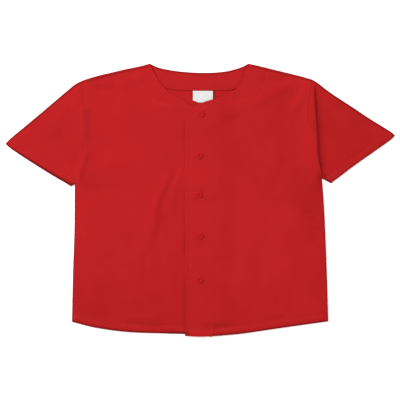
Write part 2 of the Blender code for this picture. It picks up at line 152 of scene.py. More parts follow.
# Stitches and buttonholes
STITCH_LENGTH = 2.4
STITCH_PITCH = 3.2
STITCH_WIDTH = 0.5
STITCH_HEIGHT = 0.32
STITCH_STANDS = 0.1
STITCH_DIP = 0.5
STITCH_SIDES = 6
STITCH_PROFILE = ((-0.8, 0.7), (-0.3, 1.0), (0.3, 1.0), (0.8, 0.7))
BUTTONHOLE_LENGTH = 17.0
BUTTONHOLE_SIDE = 0.8
BUTTONHOLE_PITCH = 0.55
BUTTONHOLE_STITCH = 1.7

# Buttons, as in the solids but rounder
BUTTON_SIDES = 56
BUTTON_RADIUS = 7.0
BUTTON_THICKNESS = 2.5
HOLE_SIDES = 18
HOLE_RADIUS = 0.85
HOLE_OFFSET = 1.25
BUTTON_SHARP = math.radians(40)
SEAM_SHARP = math.radians(55)
MERGE = 1e-4
DISHED_HEIGHT = 1.17
THREAD_BAR = (2.9, 0.5, 0.35)
BUTTON_PROFILE = (
    (0.0, 0.0), (5.6, 0.0), (6.4, 0.12), (6.85, 0.4), (7.0, 0.75), (6.85, 1.05),
    (6.4, 1.28), (5.7, 1.36), (4.9, 1.35), (4.2, 1.28), (3.6, 1.2), (3.1, 1.17), (0.0, 1.17),
)
SWELL_HEIGHT = 0.35
SWELL_RADIUS = 10.0
SWELL_REACH = 4.5
SEAT_GAP = 0.15

# Painted shade: how far the cloth's colour is darkened in a band where it turns down at the outline, and along its
# stitches; the thin rim at the very edge is left undarkened, standing for the light it catches
EDGE_BRIGHT_RIM = 0.22
EDGE_FADE_START = 0.6
EDGE_FADE_END = 1.3
SHADE_END = 0.12
ROW_CORE = 0.3
ROW_BAND = 1.6
FAR = 1000.0

# Colours as linear light
CLOTH_DARKER = (0.415, 0.0085, 0.0098)
CLOTH_LIGHTER = (0.445, 0.0105, 0.0118)
THREAD_DARKER = (0.385, 0.0085, 0.0095)
THREAD_LIGHTER = (0.425, 0.011, 0.012)
LABEL_DARKER = (0.64, 0.66, 0.65)
LABEL_LIGHTER = (0.71, 0.72, 0.71)
BUTTON_DARKER = (0.42, 0.0075, 0.0085)
BUTTON_LIGHTER = (0.46, 0.0095, 0.0105)
FLOOR_COLOUR = (0.95, 0.95, 0.95, 1.0)

# Stage: metres, watts. A band of Blender's wave texture is this long at a scale of one
WAVE_PERIOD = math.tau / 20
FLOOR_SIZE = 8.0
FLOOR_DROP = 0.0002
FLOOR_GLOW = 0.4
SURROUNDING_LIGHT = 0.674
LIGHTS = (
    ("soft light from the upper left", (-3.6, 2.8, 2.9), 1.8, 290.0),
)


class SideOutline(NamedTuple):
    """One side of the jersey. Each edge is a list of points that its curve runs through."""

    name: str
    side_seam: tuple
    armhole: tuple
    shoulder: tuple
    overarm: tuple
    cuff: tuple
    outward: int


RIGHT_SIDE = SideOutline(
    name="right",
    side_seam=((-256.5, -243.0), (-254.5, -150.0), (-251.5, -60.0), (-250.8, 32.0)),
    armhole=(
        (-250.8, 32.0), (-246.0, 63.0), (-234.0, 96.0),
        (-231.8, 140.0), (-231.5, 178.0), (-234.0, 240.0),
    ),
    shoulder=((-234.0, 240.0), (-206.7, 248.4), (-155.7, 260.4), (-118.3, 268.4), (-100.5, 273.1)),
    overarm=(
        (-234.0, 240.0), (-249.0, 232.6), (-268.9, 216.6), (-306.5, 184.6),
        (-350.5, 147.6), (-379.5, 123.6), (-389.5, 113.2),
    ),
    cuff=((-258.4, 27.6), (-320.5, 65.0), (-379.5, 103.8), (-389.5, 113.2)),
    outward=-1,
)

LEFT_SIDE = SideOutline(
    name="left",
    side_seam=((255.8, -242.0), (253.5, -160.0), (248.8, -40.0), (245.8, 10.6), (243.0, 43.4)),
    armhole=(
        (243.0, 43.4), (234.0, 67.0), (222.0, 100.0),
        (216.0, 150.0), (214.8, 190.0), (224.0, 241.3),
    ),
    shoulder=((224.0, 241.3), (199.1, 248.4), (149.7, 260.4), (117.3, 268.4), (96.1, 273.1)),
    overarm=(
        (224.0, 241.3), (234.6, 234.8), (258.6, 216.4), (306.9, 184.6),
        (339.5, 162.8), (369.5, 144.4), (383.0, 135.6), (389.5, 129.4),
    ),
    cuff=((261.5, 33.6), (309.5, 70.2), (380.0, 120.2), (389.5, 129.4)),
    outward=1,
)

# Hems, from the wearer's right to left
BACK_HEM = (
    (-256.5, -243.0), (-208.0, -254.0), (-136.0, -263.0),
    (0.0, -267.5), (130.0, -259.0), (255.8, -242.0),
)
RIGHT_FRONT_HEM = ((-256.5, -243.0), (-208.0, -255.0), (-136.0, -264.0), (UNDER_PLACKET_SEAM_X, -266.5))
LEFT_FRONT_HEM = ((PLACKET_SEAM_X, -271.4), (79.5, -267.2), (151.5, -256.8), (255.8, -242.0))
TOP_PLACKET_HEM = ((PLACKET_EDGE_X, -271.2), (0.0, -272.5), (PLACKET_SEAM_X, -271.4))
UNDER_PLACKET_HEM = ((UNDER_PLACKET_SEAM_X, -266.8), (UNDER_PLACKET_EDGE_X, -273.1))

# Necklines, from the placket's seam up to the neck point
RIGHT_NECKLINE = (
    (UNDER_PLACKET_SEAM_X, 193.6), (-42.0, 202.2), (-60.0, 213.0),
    (-76.0, 230.0), (-90.0, 251.0), (-100.5, 273.1),
)
LEFT_NECKLINE = (
    (PLACKET_SEAM_X, 202.2), (46.0, 208.4), (67.5, 219.5),
    (80.5, 232.0), (88.5, 248.0), (96.1, 273.1),
)
BACK_NECKLINE = (
    (-100.5, 273.1), (-82.0, 265.0), (-40.0, 257.6), (8.0, 255.0),
    (50.0, 257.6), (80.0, 265.4), (96.1, 273.1),
)

# The round upper corners of the plackets, from the front edge in to the seam
TOP_PLACKET_CORNER = ((PLACKET_EDGE_X, 157.0), (-28.0, 166.0), (-21.0, 176.0))
TOP_PLACKET_NECKLINE = ((-21.0, 176.0), (-11.5, 186.2), (6.5, 195.8), (PLACKET_SEAM_X, 202.2))
UNDER_PLACKET_CORNER = ((UNDER_PLACKET_EDGE_X, 155.0), (22.0, 163.0), (15.0, 172.0))
UNDER_PLACKET_NECKLINE = ((UNDER_PLACKET_SEAM_X, 193.6), (-14.5, 187.6), (0.0, 181.0), (15.0, 172.0))

# The facing inside the back neck: its ends lie in the shoulder seams
FACING_LOWER_EDGE = (
    (-133.0, 264.0), (-98.0, 238.0), (-65.0, 224.0), (-15.0, 219.8),
    (30.0, 221.0), (66.0, 222.4), (99.0, 240.0), (129.0, 264.2),
)
FACING_SETBACK = 0.8
LABEL_LEFT_X = -14.6
LABEL_RIGHT_X = 25.4
LABEL_LOWER_Y = 195.0
LABEL_UPPER_Y = 218.6
LABEL_CURL = 4.5
LABEL_CURL_WIDTH = 12.0


class Button(NamedTuple):
    """Where a button's middle is in the plan, and how far it is turned, in degrees."""

    x: float
    y: float
    turn: float


BUTTONS = (
    Button(1.6, 173.0, 12.0),
    Button(-1.9, 89.6, 38.0),
    Button(-1.9, 11.0, 5.0),
    Button(-0.5, -71.0, 27.0),
    Button(-1.5, -158.4, 50.0),
)


class PaintedShadingPatch(NamedTuple):
    """A broad soft patch of painted light on the cloth, or of painted shade where the amount is negative."""

    name: str
    x: float
    y: float
    reach: float
    amount: float


# Painted light and shade: broad patches where the cloth's colour is made lighter, or darker where it lies in shade
PAINTED_SHADING_PATCHES = (
    PaintedShadingPatch("low on the right front", -196.0, -206.0, 74.0, -0.08),
    PaintedShadingPatch("low in the middle", -70.0, -226.0, 60.0, -0.06),
    PaintedShadingPatch("right sleeve", -300.0, 150.0, 80.0, -0.05),
    PaintedShadingPatch("left sleeve", 310.0, 150.0, 80.0, -0.06),
    PaintedShadingPatch("left sleeve, upper spot", 277.0, 190.0, 9.0, -0.06),
    PaintedShadingPatch("left sleeve, lower spot", 309.0, 156.0, 9.0, -0.06),
    PaintedShadingPatch("left side under the arm", 212.0, 22.0, 40.0, -0.08),
    PaintedShadingPatch("left side, the hollow", 217.0, -22.0, 15.0, -0.11),
    PaintedShadingPatch("left side, below the hollow", 236.0, -50.0, 14.0, -0.08),
    PaintedShadingPatch("left front, pale spot in the middle", 158.0, -22.0, 18.0, 0.025),
    PaintedShadingPatch("left front, pale spot below it", 148.0, -126.0, 20.0, 0.07),
    PaintedShadingPatch("left front, beside the fourth button", 66.0, -118.0, 26.0, 0.025),
    PaintedShadingPatch("right front, pale spot", -168.0, 82.0, 20.0, 0.04),
    PaintedShadingPatch("left chest, dark spot", 160.0, 86.0, 10.0, -0.05),
    PaintedShadingPatch("left underarm", 247.0, 49.0, 7.0, -0.28),
    PaintedShadingPatch("under the right arm", -218.0, 34.0, 26.0, -0.07),
    PaintedShadingPatch("above the placket's hem", 30.0, -240.0, 26.0, -0.05),
    PaintedShadingPatch("left front's middle", 120.0, -60.0, 90.0, 0.03),
    PaintedShadingPatch("left shoulder, the hollow", 181.0, 214.0, 9.0, -0.06),
    PaintedShadingPatch("beside the top button", 62.0, 161.0, 13.0, -0.06),
    PaintedShadingPatch("button stand", -6.0, 40.0, 40.0, 0.02),
    PaintedShadingPatch("button stand, below the second button", -14.0, 54.0, 20.0, 0.045),
)


class Shade(NamedTuple):
    """A soft line of painted shade, along which the cloth's colour is darker, or of painted light where the amount is
    positive.
    """

    name: str
    line: tuple
    reach: float
    amount: float


# Painted shade along lines: the shadow in the valley beside the roll, at the placket's edge, beside the label and along
# seams; the positive ones are painted light
SHADES = (
    Shade("beyond the roll", ((234.0, 232.0), (238.0, 190.0), (242.0, 140.0), (245.0, 90.0), (252.0, 42.0)), 6.0, -0.08),
    Shade(
        "along the roll's foot",
        ((230.0, 222.0), (231.4, 191.6), (235.0, 165.0), (236.5, 132.0), (237.2, 98.0), (240.5, 78.0), (243.5, 60.0)),
        5.5, -0.2,
    ),
    Shade(
        "at the bottom of the roll's foot",
        ((229.5, 222.0), (231.4, 191.6), (234.2, 165.0), (235.8, 132.0), (236.8, 98.0), (240.5, 70.0)),
        1.8, 0.34,
    ),
    Shade("beside the right side, low", ((-248.0, -50.0), (-246.0, -140.0), (-244.0, -240.0)), 9.0, -0.06),
    Shade("left armhole's seam", ((223.0, 236.0), (218.6, 214.0), (214.8, 190.0), (215.0, 168.0), (215.8, 150.0)), 1.8, -0.14),
    Shade("right armhole, its top", ((-240.0, 230.0), (-238.0, 216.0), (-234.0, 202.0)), 2.2, -0.12),
    Shade("placket edge, top", ((-32.0, 164.0), (-33.0, 150.0), (-33.0, 112.0)), 4.5, -0.08),
    Shade("placket edge, middle", ((-33.0, 20.0), (-33.0, -20.0), (-33.0, -60.0)), 3.5, -0.06),
    Shade("placket edge, below it", ((-32.0, -62.0), (-32.0, -84.0), (-32.0, -108.0)), 5.0, -0.07),
    Shade("placket edge, foot", ((-31.0, -146.0), (-31.0, -210.0), (-31.0, -270.0)), 4.5, -0.09),
    Shade("placket edge, past the fourth button", ((-32.5, -114.0), (-32.5, -132.0), (-32.5, -156.0)), 4.0, 0.05),
    Shade("placket's rim", ((-29.5, 154.0), (-29.5, 0.0), (-29.5, -170.0)), 1.0, -0.07),
    Shade("placket's rim, its foot", ((-29.5, -160.0), (-29.5, -210.0), (-29.5, -272.0)), 1.0, -0.16),
    Shade("pale strip down the placket", ((-20.0, 84.0), (-20.0, -30.0), (-20.0, -156.0)), 7.0, 0.03),
    Shade("above the hem, right front", ((-150.0, -238.0), (-110.0, -246.0), (-70.0, -248.0)), 8.0, -0.05),
    Shade("above the hem, by the placket", ((4.0, -250.0), (44.0, -250.0), (88.0, -246.0)), 6.0, -0.05),
    Shade("above the hem, left front", ((132.0, -236.0), (152.0, -234.0), (168.0, -232.0)), 7.0, -0.04),
    Shade("right shoulder, its seam", ((-228.0, 233.4), (-200.5, 243.4), (-176.5, 250.0), (-148.0, 256.6)), 2.4, -0.2),
    Shade("right shoulder, streak", ((-216.0, 234.0), (-180.0, 226.0), (-138.0, 222.0)), 7.0, -0.06),
    Shade("beside the right armhole", ((-226.0, 184.0), (-225.0, 160.0), (-227.0, 116.0)), 6.0, -0.07),
    Shade(
        "right neckline's edge",
        ((-94.0, 256.0), (-88.0, 247.0), (-76.0, 230.0), (-60.0, 213.0), (-42.0, 202.2), (-28.0, 194.0)),
        1.7, 0.2,
    ),
    Shade("left neckline's edge", ((90.0, 254.0), (80.5, 232.0), (67.5, 219.5)), 1.8, -0.06),
    Shade("left neck point", ((95.0, 270.0), (87.0, 256.0), (83.0, 243.0)), 2.4, -0.16),
    Shade("right of the label", ((28.4, 221.0), (28.4, 210.0), (28.0, 199.0)), 2.2, -0.42),
    Shade("left of the label", ((-17.2, 219.0), (-17.2, 208.0), (-17.0, 199.0)), 1.7, -0.3),
    Shade("across the middle of the placket", ((-62.0, 20.5), (-20.0, 20.0), (16.0, 20.5)), 2.2, -0.1),
    Shade("below the placket's hem row", ((-25.0, -262.0), (0.0, -263.0), (30.0, -262.0)), 3.0, 0.08),
    Shade("long fold, upper part", ((-48.0, 64.0), (-64.0, 22.0), (-78.0, 0.0)), 5.0, -0.04),
)


class Fold(NamedTuple):
    """A soft ridge along its crest, or a trough where the height is negative."""

    name: str
    crest: tuple
    reach: float
    height: float


# The large folds, at the places that the solids have them
FOLDS = (
    Fold(
        "long fold down the right front",
        (
            (-56.0, 72.0), (-72.0, 24.0), (-84.0, 0.0), (-91.0, -26.0),
            (-95.0, -56.0), (-106.0, -90.0), (-114.0, -132.0),
        ),
        10.0, 1.7,
    ),
    Fold(
        "beside the right armhole",
        ((-227.0, 106.0), (-234.0, 78.0), (-242.0, 52.0), (-248.0, 32.0)),
        8.0, 1.4,
    ),
    Fold("down the right armhole", ((-232.0, 194.0), (-231.0, 160.0), (-230.0, 112.0)), 8.0, 1.1),
    Fold(
        "left front, neck to shoulder",
        ((46.0, 178.0), (80.0, 188.0), (112.0, 198.0), (146.0, 212.0), (172.0, 227.0), (194.0, 239.0)),
        11.0, 1.0,
    ),
    Fold("left shoulder end", ((184.0, 176.0), (198.0, 196.0), (210.0, 218.0)), 9.0, 1.4),
    Fold("left side, above the hollow", ((150.0, 34.0), (188.0, 8.0), (214.0, -12.0)), 10.0, 0.9),
    Fold("left side hollow", ((204.0, -22.0), (220.0, -32.0), (236.0, -46.0)), 9.0, -0.9),
    Fold("left side, below the hollow", ((176.0, -22.0), (204.0, -58.0), (232.0, -80.0)), 12.0, 1.1),
    Fold("across the lower placket", ((-40.0, -109.0), (20.0, -110.0), (76.0, -108.0)), 9.0, 0.7),
    Fold("left front, towards the hem", ((100.0, -60.0), (92.0, -130.0), (96.0, -190.0)), 18.0, 0.6),
    Fold(
        "right front, towards the side",
        ((-196.0, -120.0), (-206.0, -180.0), (-196.0, -226.0)),
        18.0, 0.4,
    ),
    Fold("right sleeve, shoulder to cuff", ((-262.0, 190.0), (-300.0, 140.0), (-326.0, 104.0)), 14.0, 0.6),
    Fold("left sleeve, shoulder to cuff", ((268.0, 182.0), (300.0, 152.0), (346.0, 118.0)), 12.0, 1.2),
)

ROLL_CREST = (
    (226.0, 238.0), (226.5, 205.0), (229.5, 165.0), (231.8, 129.8),
    (233.5, 90.0), (238.0, 65.2), (241.6, 46.0),
)


def curve_through(points):
    """A fine line through the points, whose direction at each comes from its two neighbours."""
    knots = np.array(points, float)
    line = [knots[0]]
    for index in range(len(knots) - 1):
        start, end = knots[index], knots[index + 1]
        before, after = knots[max(index - 1, 0)], knots[min(index + 2, len(knots) - 1)]
        span = np.linalg.norm(end - start)
        leave = (end - before) / np.linalg.norm(end - before) * span
        arrive = (after - start) / np.linalg.norm(after - start) * span
        for step in range(1, CURVE_STEPS + 1):
            t = step / CURVE_STEPS
            line.append(
                start * (2 * t**3 - 3 * t**2 + 1)
                + leave * (t**3 - 2 * t**2 + t)
                + end * (3 * t**2 - 2 * t**3)
                + arrive * (t**3 - t**2)
            )
    return np.array(line)


def shares(steps, crowding=1.0):
    """Fractions from 0 to 1, closer together near 0 when crowding is over 1."""
    return np.linspace(0.0, 1.0, steps + 1) ** crowding


def along_line(line):
    """The length of the line up to each of its points."""
    steps = np.linalg.norm(np.diff(line, axis=0), axis=1)
    return np.concatenate([[0.0], np.cumsum(steps)])


def spaced(points, fractions):
    """Points at these fractions of the length of the curve through the given ones."""
    line = curve_through(points)
    lengths = along_line(line)
    targets = np.asarray(fractions) * lengths[-1]
    return np.stack([np.interp(targets, lengths, line[:, axis]) for axis in (0, 1)], axis=1)


def joined(*stretches):
    """One edge from stretches that share their end points, which stay corners."""
    return np.concatenate([stretches[0]] + [stretch[1:] for stretch in stretches[1:]])


def patch(lower, upper, near, far, across=None):
    """Rows of points between four edges. The lower and upper ones run from the near to the far one."""
    u = (shares(len(lower) - 1) if across is None else across)[None, :, None]
    v = shares(len(near) - 1)[:, None, None]
    between_rows = lower[None] * (1 - v) + upper[None] * v
    between_columns = near[:, None] * (1 - u) + far[:, None] * u
    low_corners = lower[0] * (1 - u) + lower[-1] * u
    high_corners = upper[0] * (1 - u) + upper[-1] * u
    return between_rows + between_columns - low_corners * (1 - v) - high_corners * v


def ease(value, start, end):
    """From 0 at start to 1 at end, with no corner at either."""
    share = np.clip((value - start) / (end - start), 0.0, 1.0)
    return share * share * (3.0 - 2.0 * share)


def distance_to(points, line):
    """Distances from points to a line, their sides, 1 for the left, and how far along it they are."""
    best = np.full(points.shape[:-1], np.inf)
    side = np.ones_like(best)
    along = np.zeros_like(best)
    for index, (start, end) in enumerate(zip(line, line[1:])):
        run = end - start
        out = points - start
        share = np.clip(out @ run / (run @ run), 0.0, 1.0)
        gap = np.linalg.norm(out - share[..., None] * run, axis=-1)
        nearer = gap < best
        best = np.where(nearer, gap, best)
        side = np.where(nearer, np.sign(run[0] * out[..., 1] - run[1] * out[..., 0]), side)
        along = np.where(nearer, (index + share) / (len(line) - 1), along)
    return best, side, along


class PaintedShadeEdge(NamedTuple):
    """An edge that the cloth turns down at, with a band of painted shade inside it: how wide the band is at both ends,
    and how dark.
    """

    line: np.ndarray
    width: float
    end_width: float
    amount: float


def silhouette():
    """The edges that the top layer comes down to: hems, shoulders, overarms, cuffs and sides."""
    edges = [PaintedShadeEdge(curve_through(hem), 4.4, 4.4, 0.45) for hem in (RIGHT_FRONT_HEM, LEFT_FRONT_HEM)]
    for side in (RIGHT_SIDE, LEFT_SIDE):
        edges.append(PaintedShadeEdge(curve_through(side.shoulder), 6.0, 6.0, 0.28))
        edges.append(PaintedShadeEdge(curve_through(side.overarm), 4.6, 3.6, 0.4))
        edges.append(PaintedShadeEdge(np.array([side.cuff[0], side.side_seam[-1]], float), 4.6, 3.0, 0.5))
        edges.append(PaintedShadeEdge(curve_through(side.side_seam), 2.6, 2.6, 0.35))
    edges.append(PaintedShadeEdge(curve_through(RIGHT_SIDE.cuff), 6.0, 2.6, 0.6))
    edges.append(PaintedShadeEdge(curve_through(LEFT_SIDE.cuff), 3.2, 2.8, 0.34))
    return edges


SILHOUETTE = silhouette()
PAINTED_SHADE_EDGES = SILHOUETTE + [PaintedShadeEdge(curve_through(BACK_NECKLINE), 3.4, 3.4, 0.45)]
FOLD_LINES = [(fold, curve_through(fold.crest)) for fold in FOLDS]
ROLL_LINE = curve_through(ROLL_CREST)


def outline_distance(points):
    return np.min([distance_to(points, edge.line)[0] for edge in SILHOUETTE], axis=0)


def painted_edge_shade(points):
    """How far in from the nearest edge points are, in widths of its band of painted shade, and how dark that painted
    shade is.
    """
    gaps = []
    for edge in PAINTED_SHADE_EDGES:
        gap, _, along = distance_to(points, edge.line)
        gaps.append(gap / (edge.width + (edge.end_width - edge.width) * along))
    amounts = np.array([edge.amount for edge in PAINTED_SHADE_EDGES])
    return np.min(gaps, axis=0), amounts[np.argmin(gaps, axis=0)]


def loft(points, from_outline):
    """How far the cloth stands off what it lies on, with the lift that the facing and label give."""
    over_facing = 1.0 - ease(np.abs(points[..., 0]), LIFT_HALF_WIDTH, LIFT_HALF_WIDTH_END)
    over_facing = over_facing * ease(points[..., 1], LIFT_START_Y, LIFT_FULL_Y)
    return LIFT_OVER_FACING * over_facing + LOFT * (1.0 - np.exp(-from_outline / LOFT_REACH))


def folds(points, lines):
    """The sum of the ridges and troughs."""
    total = np.zeros(points.shape[:-1])
    for fold, line in lines:
        gap, _, along = distance_to(points, line)
        ends = ease(along, 0.0, FOLD_END) * (1.0 - ease(along, 1.0 - FOLD_END, 1.0))
        total += fold.height * ends * np.exp(-((gap / fold.reach) ** 2))
    return total


def roll(points):
    """The share of the roll's height: a long rise from the body, and a short drop to the sleeve."""
    gap, side, along = distance_to(points, ROLL_LINE)
    height = 1.0 - ROLL_FLATTENING * ease(along, ROLL_FLAT_START, 1.0)
    height -= ROLL_LOW_START * (1.0 - ease(along, 0.0, ROLL_LOW_END))
    rise = np.exp(-((gap / ROLL_REACH_IN) ** 2))
    drop = 1.0 - ease(gap, 0.0, ROLL_DROP)
    return np.where(side > 0, drop, rise) * height


# Smaller creases, most of them read off the photograph's light and dark
CREASES = (
    Fold("beside the top button", ((42.0, 158.0), (60.0, 162.0), (82.0, 164.0)), 7.0, -0.7),
    Fold("under the right neckline", ((-104.0, 196.0), (-74.0, 186.0), (-40.0, 184.0)), 7.0, 0.7),
    Fold("along the right shoulder", ((-224.0, 226.0), (-190.0, 222.0), (-160.0, 230.0)), 8.0, -0.5),
    Fold("right shoulder, upper ridge", ((-160.0, 238.0), (-128.0, 244.0), (-104.0, 254.0)), 6.0, 0.6),
    Fold("along the left shoulder", ((112.0, 236.0), (146.0, 240.0), (184.0, 236.0)), 6.0, -0.9),
    Fold("left chest, slanting", ((134.0, 96.0), (168.0, 88.0), (204.0, 102.0)), 10.0, 0.3),
    Fold("left front, off the placket", ((34.0, 6.0), (58.0, -14.0), (96.0, -26.0)), 9.0, 0.45),
    Fold("left front, low streak", ((128.0, -104.0), (134.0, -140.0), (130.0, -186.0)), 7.0, 0.4),
    Fold("left front, low streak beside it", ((158.0, -92.0), (168.0, -132.0), (166.0, -168.0)), 8.0, -0.4),
    Fold("across the middle of the placket", ((-44.0, 22.0), (0.0, 19.0), (40.0, 22.0)), 5.0, -0.55),
    Fold("under the middle of the placket", ((-30.0, 8.0), (0.0, 5.0), (46.0, 8.0)), 6.0, 0.4),
    Fold("trough of the long fold", ((-40.0, 88.0), (-56.0, 40.0), (-74.0, 2.0), (-82.0, -30.0)), 6.0, -0.7),
    Fold("long fold, where it fades", ((-93.0, -44.0), (-101.0, -78.0), (-110.0, -110.0), (-114.0, -138.0)), 9.0, -0.6),
    Fold("end of the long fold", ((-106.0, -100.0), (-111.0, -140.0), (-112.0, -176.0)), 6.0, -0.4),
    Fold("beside the long fold's trough", ((-36.0, 62.0), (-52.0, 18.0), (-60.0, -20.0)), 7.0, 0.5),
    Fold("sleeve by the right underarm", ((-262.0, 96.0), (-258.0, 72.0), (-254.0, 48.0)), 6.0, -0.4),
    Fold("above the right underarm hollow", ((-236.0, 60.0), (-212.0, 54.0), (-186.0, 52.0)), 9.0, 0.5),
    Fold("left front, broad rise", ((146.0, -6.0), (166.0, -60.0), (156.0, -130.0)), 20.0, 0.8),
    Fold("left shoulder, hollow", ((164.0, 196.0), (182.0, 208.0), (196.0, 218.0)), 9.0, -0.25),
    Fold("right front, upper streak", ((-176.0, 118.0), (-182.0, 66.0), (-172.0, 20.0)), 12.0, 0.45),
    Fold("right front, side streak", ((-226.0, 10.0), (-228.0, -46.0), (-222.0, -96.0)), 10.0, 0.6),
    Fold("right front, under the arm", ((-236.0, 30.0), (-206.0, 22.0), (-180.0, 28.0)), 9.0, -0.5),
    Fold("above the right hem", ((-152.0, -240.0), (-112.0, -251.0), (-70.0, -253.0)), 6.0, -0.9),
    Fold("above the right hem, ridge", ((-150.0, -226.0), (-112.0, -236.0), (-76.0, -238.0)), 7.0, 0.5),
    Fold("right hem, by the side", ((-236.0, -222.0), (-208.0, -232.0), (-176.0, -236.0)), 6.0, -0.5),
    Fold("above the placket's hem", ((-26.0, -252.0), (0.0, -256.0), (40.0, -255.0), (90.0, -250.0)), 6.0, -0.9),
    Fold("above the placket's hem, ridge", ((-10.0, -240.0), (30.0, -242.0), (80.0, -236.0)), 7.0, 0.4),
    Fold("above the left hem", ((124.0, -240.0), (148.0, -238.0), (176.0, -234.0)), 5.0, -0.7),
    Fold("left side, upper", ((224.0, 36.0), (206.0, 46.0), (190.0, 62.0)), 8.0, -0.6),
    Fold("left side, by the hem", ((214.0, -140.0), (222.0, -184.0), (216.0, -222.0)), 13.0, 0.6),
    Fold("right sleeve, hollow at the top", ((-270.0, 196.0), (-292.0, 172.0), (-318.0, 158.0)), 8.0, -0.35),
    Fold("right sleeve, by the seam", ((-246.0, 170.0), (-250.0, 130.0), (-262.0, 96.0)), 8.0, 0.2),
    Fold("right sleeve, low hollow", ((-262.0, 78.0), (-276.0, 66.0), (-296.0, 66.0)), 8.0, -0.5),
    Fold("left sleeve, upper hollow", ((290.0, 206.0), (310.0, 190.0), (322.0, 172.0)), 8.0, -0.8),
    Fold("left sleeve, middle hollow", ((300.0, 172.0), (324.0, 164.0), (352.0, 142.0)), 9.0, -0.7),
    Fold("left sleeve, lower ridge", ((262.0, 120.0), (284.0, 106.0), (316.0, 92.0)), 10.0, 0.6),
    Fold("left sleeve, by the cuff", ((290.0, 84.0), (312.0, 86.0), (336.0, 104.0)), 7.0, -0.5),
)

# Creases on the sides that lie on the floor: they rise into the cloth, so the rest of it stays flat
BACK_CREASES = (
    Fold("back, off the right underarm", ((-222.0, 40.0), (-160.0, 12.0), (-96.0, 16.0)), 12.0, 0.6),
    Fold("back, off the left underarm", ((214.0, 44.0), (166.0, 2.0), (120.0, -44.0)), 12.0, 0.6),
    Fold("back, long one down the middle", ((20.0, 120.0), (6.0, 20.0), (24.0, -96.0), (16.0, -150.0)), 14.0, 0.5),
    Fold("back, below the neck", ((-60.0, 196.0), (0.0, 186.0), (70.0, 198.0)), 11.0, 0.5),
    Fold("back, right blade", ((-186.0, 190.0), (-160.0, 130.0), (-172.0, 84.0)), 13.0, 0.5),
    Fold("back, towards the hem on the right", ((-130.0, -110.0), (-146.0, -170.0), (-138.0, -222.0)), 13.0, 0.5),
    Fold("back, towards the hem on the left", ((150.0, -90.0), (166.0, -160.0), (158.0, -214.0)), 13.0, 0.45),
    Fold("right sleeve, underside", ((-266.0, 150.0), (-300.0, 122.0), (-332.0, 112.0)), 11.0, 0.5),
    Fold("left sleeve, underside", ((262.0, 150.0), (296.0, 128.0), (334.0, 126.0)), 11.0, 0.5),
)

CREASE_LINES = [(fold, curve_through(fold.crest)) for fold in CREASES]
BACK_CREASE_LINES = [(fold, curve_through(fold.crest)) for fold in BACK_CREASES]
EVEN_LENGTHS = ((52.0, 0.34), (21.0, 0.16))


def unevenness(points, seed=0.0):
    """The soft lumps of a knit that has been smoothed by hand. Each row above is a length and a height."""
    flat = points.reshape(-1, 2)
    total = np.zeros(len(flat))
    for length, height in EVEN_LENGTHS:
        total += [height * noise.noise((x / length, y / length, seed)) for x, y in flat]
    return total.reshape(points.shape[:-1])


def button_level(number):
    """The height of a button's underside, from its solid."""
    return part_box(f"button_{number}")[0][2] / MM


def tucked(points):
    """The plan of the sleeve's cloth where the roll hangs over it: drawn in under the roll's edge."""
    gap, side, along = distance_to(points, ROLL_LINE)
    flattening = 1.0 - ROLL_FLATTENING * ease(along, ROLL_FLAT_START, 1.0)
    drawn = ease(gap, 0.0, ROLL_DROP) * (1.0 - ease(gap, ROLL_DROP, ROLL_TUCK_END)) * (side > 0)
    drawn = drawn * (1.0 - np.exp(-((outline_distance(points) / FOLD_REACH) ** 2)))
    moved = points.copy()
    moved[..., 0] -= ROLL_TUCK * flattening * drawn
    return moved


def top_layer(points):
    """The underside and the wall of a front or of a sleeve's upper layer."""
    from_outline = outline_distance(points)
    inside = 1.0 - np.exp(-((from_outline / FOLD_REACH) ** 2))
    roll_share = roll(points) * inside
    relief = folds(points, FOLD_LINES) + folds(points, CREASE_LINES) + unevenness(points)
    relief = np.maximum(relief * inside, -LOFT * inside) * (1.0 - roll_share)
    rest = FRONT_UNDER + loft(points, from_outline) * (1.0 - roll_share)
    return rest + relief + ROLL_HEIGHT * roll_share, WALL + ROLL_EXTRA_WALL * roll_share


def left_front_layer(points):
    """The left front rises to the top placket, which lies on the under placket."""
    under, wall = top_layer(points)
    return under + PLACKET_STEP * (1.0 - ease(points[..., 0], PLACKET_SEAM_X, PLACKET_SEAM_X + OVERLAP_EASE)), wall


def under_placket_layer(points):
    return FRONT_UNDER + loft(points, outline_distance(points)), np.full(points.shape[:-1], WALL)


def right_front_layer(points):
    """The right front lies as the under placket does where the top placket covers it."""
    under, wall = top_layer(points)
    covered = ease(points[..., 0], PLACKET_EDGE_X - COVER_EASE, PLACKET_EDGE_X)
    return under * (1.0 - covered) + under_placket_layer(points)[0] * covered, wall


def top_placket_layer(points):
    """It lies on the under placket, and each button's thread pulls it flat with a swell round it."""
    under, wall = top_layer(points)
    lying_on = under_placket_layer(points)[0]
    under = np.maximum(under, lying_on - SAGS_BY) + PLACKET_STEP
    for number, button in enumerate(BUTTONS, start=1):
        gap = np.linalg.norm(points - np.array((button.x, button.y)), axis=-1)
        seat = button_level(number) - SEAT_GAP - wall
        pulled = 1.0 - ease(gap, BUTTON_RADIUS - 1.0, BUTTON_RADIUS + 5.0)
        under = under * (1.0 - pulled) + seat * pulled
        under = under + SWELL_HEIGHT * np.exp(-(((gap - SWELL_RADIUS) / SWELL_REACH) ** 2)) * (gap > BUTTON_RADIUS)
    return under, wall


def back_layer(points):
    crease = np.maximum(folds(points, BACK_CREASE_LINES), 0.0)
    return crease, WALL - crease


def facing_layer(points):
    level = np.zeros(points.shape[:-1])
    return level + FRONT_UNDER, level + FACING_WALL


class Panel(NamedTuple):
    """A flat cut piece: its rows of points in the plan, and how it lies."""

    name: str
    grid: np.ndarray
    layer: object


